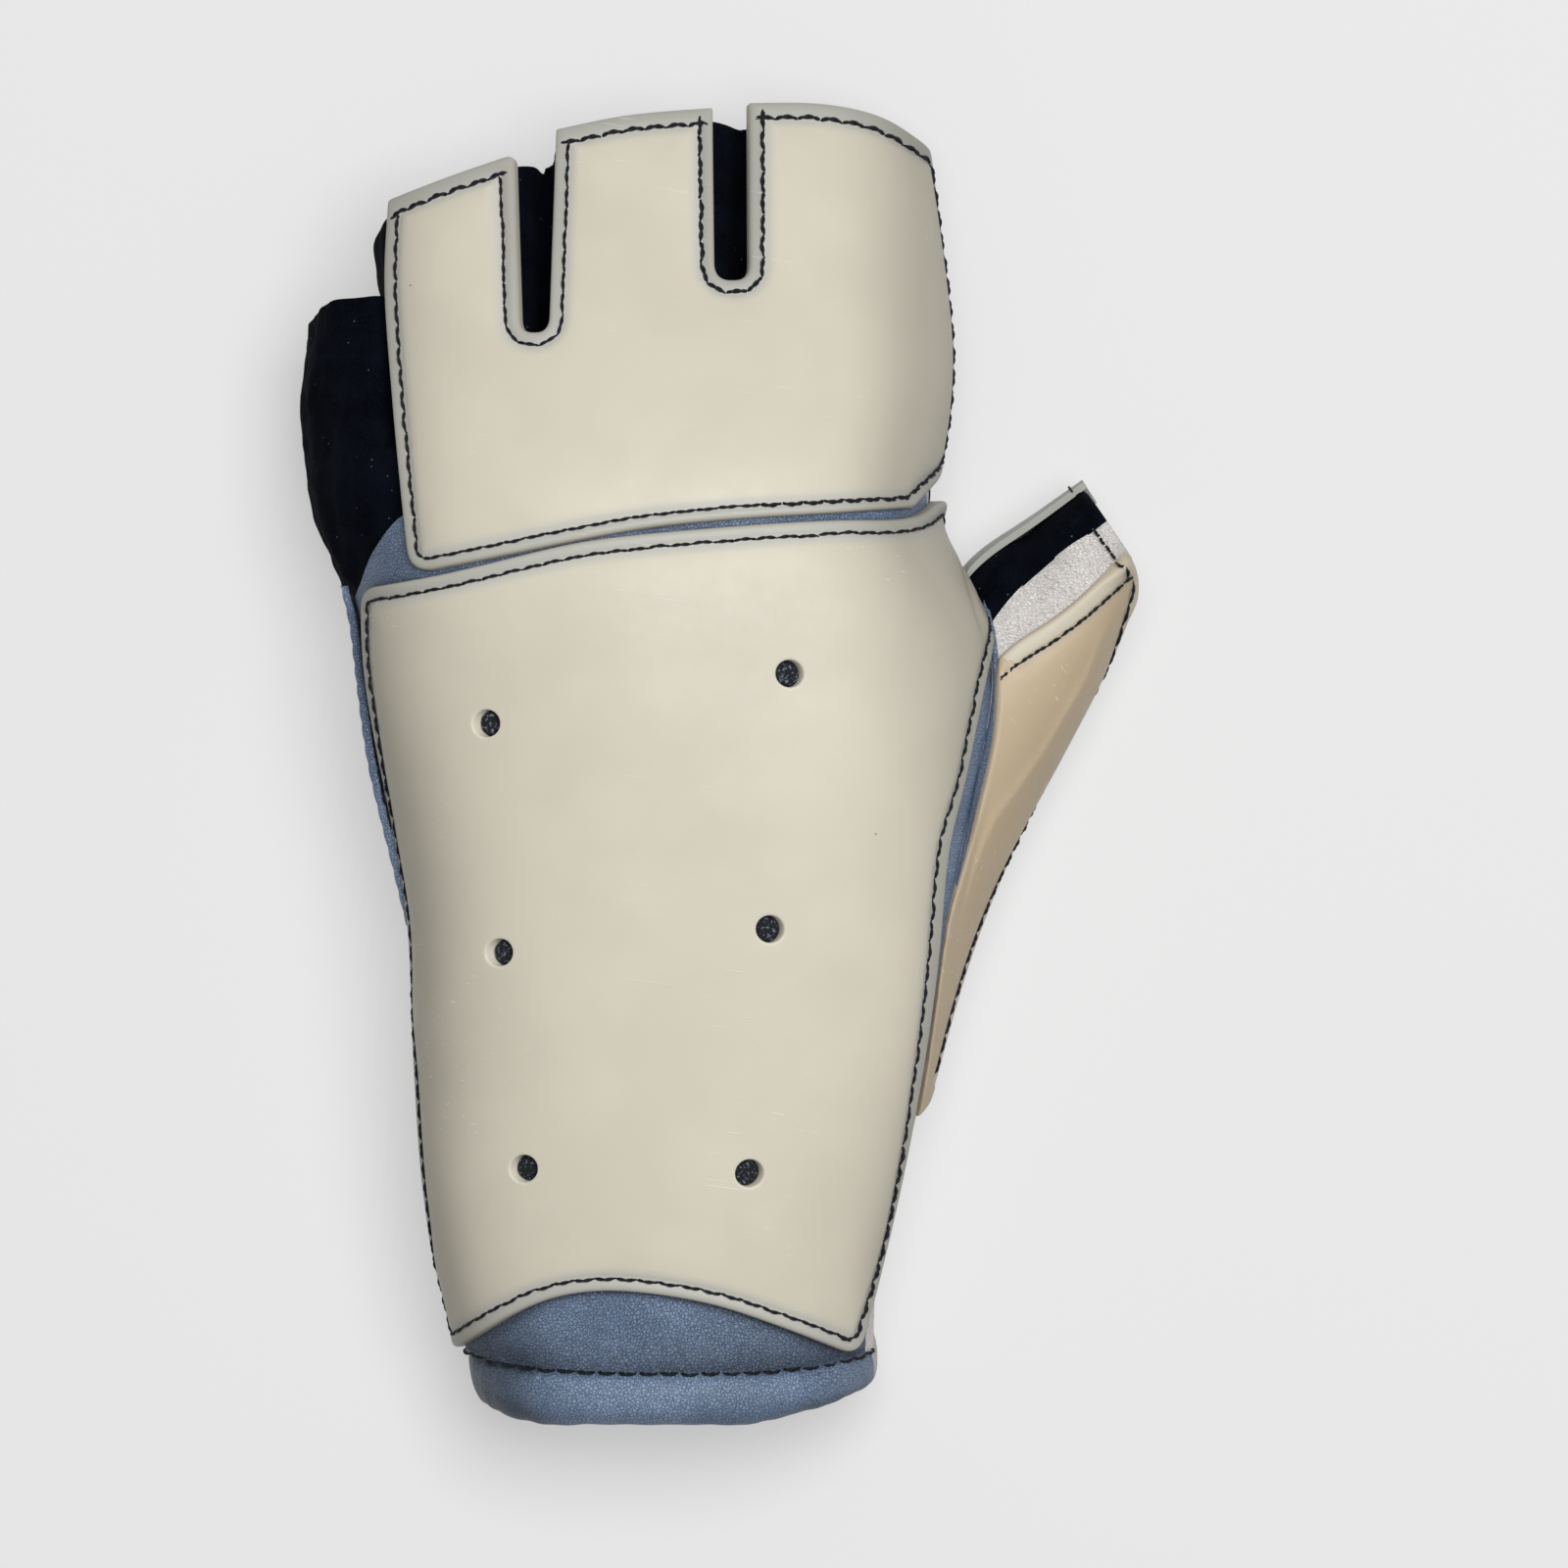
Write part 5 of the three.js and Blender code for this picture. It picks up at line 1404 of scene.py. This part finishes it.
def folded(mesh, seed, depth):
    """Fabric detail on a skin: it dips under the leather's edge, and sags in soft folds that run mostly along the
    fingers."""
    points, normals = vertex_arrays(mesh)
    station = station_of(points)
    middle, left, right, _top, side, _bottom, _lean = hand_sizes(station)
    angle = np.arctan2((points[:, 0] - middle) / np.where(points[:, 0] < middle, left, right),
                       (points[:, 2] - side) / side)
    past = station - leather_end(angle / DEG)
    tuck = 1.75 * (1 - eased(past, 0, 5))
    stretched = points * np.array([1.0, 0.35, 1.0])
    sag = depth * ripple(stretched, 9, seed, 9) + 0.4 * depth * ripple(points, 5, seed + 1, 9)
    points = points + normals * (sag * np.clip(past / 4, 0, 1) - tuck + 0.2)[:, None]
    move_points(mesh, np.maximum(points, [-np.inf, -np.inf, LEAST_HEIGHT]))
    mesh.update()


def finger_sleeve(name, skin, cuts, gone, tip):
    """One finger's share of a skin: it is cut along planes, each a place, a direction and whether what lies past it
    is left out, and it is left out in the zone gone. The tip's plane goes through x, y on the back, slopes across by
    a rise for each millimetre, and leans with the hand's sections. The wall is given its thickness inwards."""
    work = bmesh.new()
    work.from_mesh(skin)
    x, y, slope = tip
    tip_plane = ((x, y, float(back_height(np.array(x), np.array(y)))), (-slope, 1, float(hand_sizes(y)[-1])), True)
    for place, way, clear in [*cuts, tip_plane]:
        parts = work.verts[:] + work.edges[:] + work.faces[:]
        bmesh.ops.bisect_plane(work, geom=parts, plane_co=Vector(place) * MM, plane_no=way, clear_outer=clear)
    if gone:
        doomed = [face for face in work.faces if gone(face.calc_center_median() / MM)]
        bmesh.ops.delete(work, geom=doomed, context="FACES")
    mesh = bpy.data.meshes.new(name)
    work.to_mesh(mesh)
    work.free()
    mesh.shade_smooth()
    mesh.materials.append(BLACK)
    piece = bpy.data.objects.new(name.replace("sleeve", "fabric"), mesh)
    bpy.context.collection.objects.link(piece)
    wall = piece.modifiers.new("wall", "SOLIDIFY")
    wall.thickness, wall.offset = 1.3 * MM, -1
    walled = bpy.data.meshes.new_from_object(piece.evaluated_get(bpy.context.evaluated_depsgraph_get()))
    piece.modifiers.clear()
    piece.data = walled
    move_points(walled, vertex_arrays(walled)[0])
    walled.update()
    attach(piece, "root")
    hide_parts(name)


# Where the sleeves are parted: their rear end, and the x between each two of them.
SLEEVE_REAR = 27.3
PINKY_TO_RING, RING_TO_MIDDLE, MIDDLE_TO_INDEX = -57, -32.2, 3.8


def fingers():
    """The fabric of the four half fingers and of the band that joins them to the leather."""
    front = [14, 22, 30, 38, 46, 54, 62, 68, 74]
    forms = [hand_form(front[:6] + [60]), hand_form(front)]
    forms[1][..., 0] = np.maximum(forms[1][..., 0], PINKY_TO_RING - 1)
    tubes = (finger_form(FINGERS[key], 4) for key in ("ring_sleeve", "middle_sleeve", "index_sleeve"))
    three = solid_of([*forms, *tubes], "three_fingers", 1.2, 6)
    pinky = solid_of([forms[0], finger_form(FINGERS["pinky_sleeve"], 5)], "little_finger", 1.0, 5)
    folded(three, 61, 0.35)
    folded(pinky, 63, 0.55)

    def past(x, way, clear=True):
        return (x, 0, 0), (way, 0, 0), clear

    def beside_pinky(centre):
        return centre[0] < PINKY_TO_RING and centre[1] < 62
    rear = ((0, SLEEVE_REAR, 0), (0, -1, 0), True)
    finger_sleeve("pinky_sleeve", pinky, [rear, past(PINKY_TO_RING, 1)], None, (-66, 86.0, -0.06))
    finger_sleeve("ring_sleeve", three, [rear, past(PINKY_TO_RING, -1, False), past(RING_TO_MIDDLE, 1)], beside_pinky,
                  (-35, 111.2, 0.36))
    finger_sleeve("middle_sleeve", three, [rear, past(RING_TO_MIDDLE, -1), past(MIDDLE_TO_INDEX, 1)], None,
                  (0, 119.0, 0.08))
    finger_sleeve("index_sleeve", three, [rear, past(MIDDLE_TO_INDEX, -1)], None, (5, 119.0, -0.22))


fingers()
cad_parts["vent_lining"].material_slots[0].material = LINING


# Floor, light and camera.
PHOTO_MIDDLE = (11.7, -3.9)
FRAME_WIDTH = 288.0
CAMERA_HEIGHT = 8000.0
MEASURED_HEIGHT = 40.0
SENSOR = 36.0
FLOOR_HALF = 4000
FLOOR_GREY, FLOOR_GLOW, SKY_GLOW = 0.32, 0.47, 0.14
# Lamps: name, place in metres, width in metres and watts.
LAMPS = ("key", (0.38, 0.30, 1.9), 1.3, 36.5), ("glint", (-0.30, 0.28, 2.5), 0.6, 5.0)


def studio():
    """A pale lit floor under a large soft lamp from the fingers' side, a small weak one, even light all round, and a
    camera straight above that is so far off that it shows nearly no perspective."""
    corners = FLOOR_HALF * np.array([[-1.0, -1, 0], [1, -1, 0], [1, 1, 0], [-1, 1, 0]])
    ground = Finish("floor", Roughness=0.9, Specular_IOR_Level=0.1, Base_Color=(FLOOR_GREY,) * 3 + (1,),
                    Emission_Color=(1, 1, 1, 1), Emission_Strength=FLOOR_GLOW)
    floor = plain_mesh("floor", corners, [[0, 1, 2, 3]])
    floor.data.materials.append(ground.material)
    world = bpy.data.worlds.new("studio")
    world.use_nodes = True
    sky = world.node_tree.nodes["Background"].inputs
    sky[0].default_value, sky[1].default_value = (1, 1, 1, 1), SKY_GLOW
    bpy.context.scene.world = world
    for name, place, size, watts in LAMPS:
        light = bpy.data.lights.new(name, "AREA")
        light.shape, light.size, light.energy = "DISK", size, watts
        lamp = bpy.data.objects.new(name, light)
        lamp.location = place
        lamp.rotation_euler = (-Vector(place)).to_track_quat("-Z", "Y").to_euler()
        lamp.visible_camera = False
        bpy.context.collection.objects.link(lamp)
    camera = bpy.data.cameras.new("camera")
    camera.sensor_width = SENSOR
    camera.lens = SENSOR * (CAMERA_HEIGHT - MEASURED_HEIGHT) / FRAME_WIDTH
    camera.clip_end = 20.0
    eye = bpy.data.objects.new("camera", camera)
    eye.location = (PHOTO_MIDDLE[0] * MM, PHOTO_MIDDLE[1] * MM, CAMERA_HEIGHT * MM)
    bpy.context.collection.objects.link(eye)
    bpy.context.scene.camera = eye
    bpy.context.scene.view_settings.view_transform = "Standard"


studio()
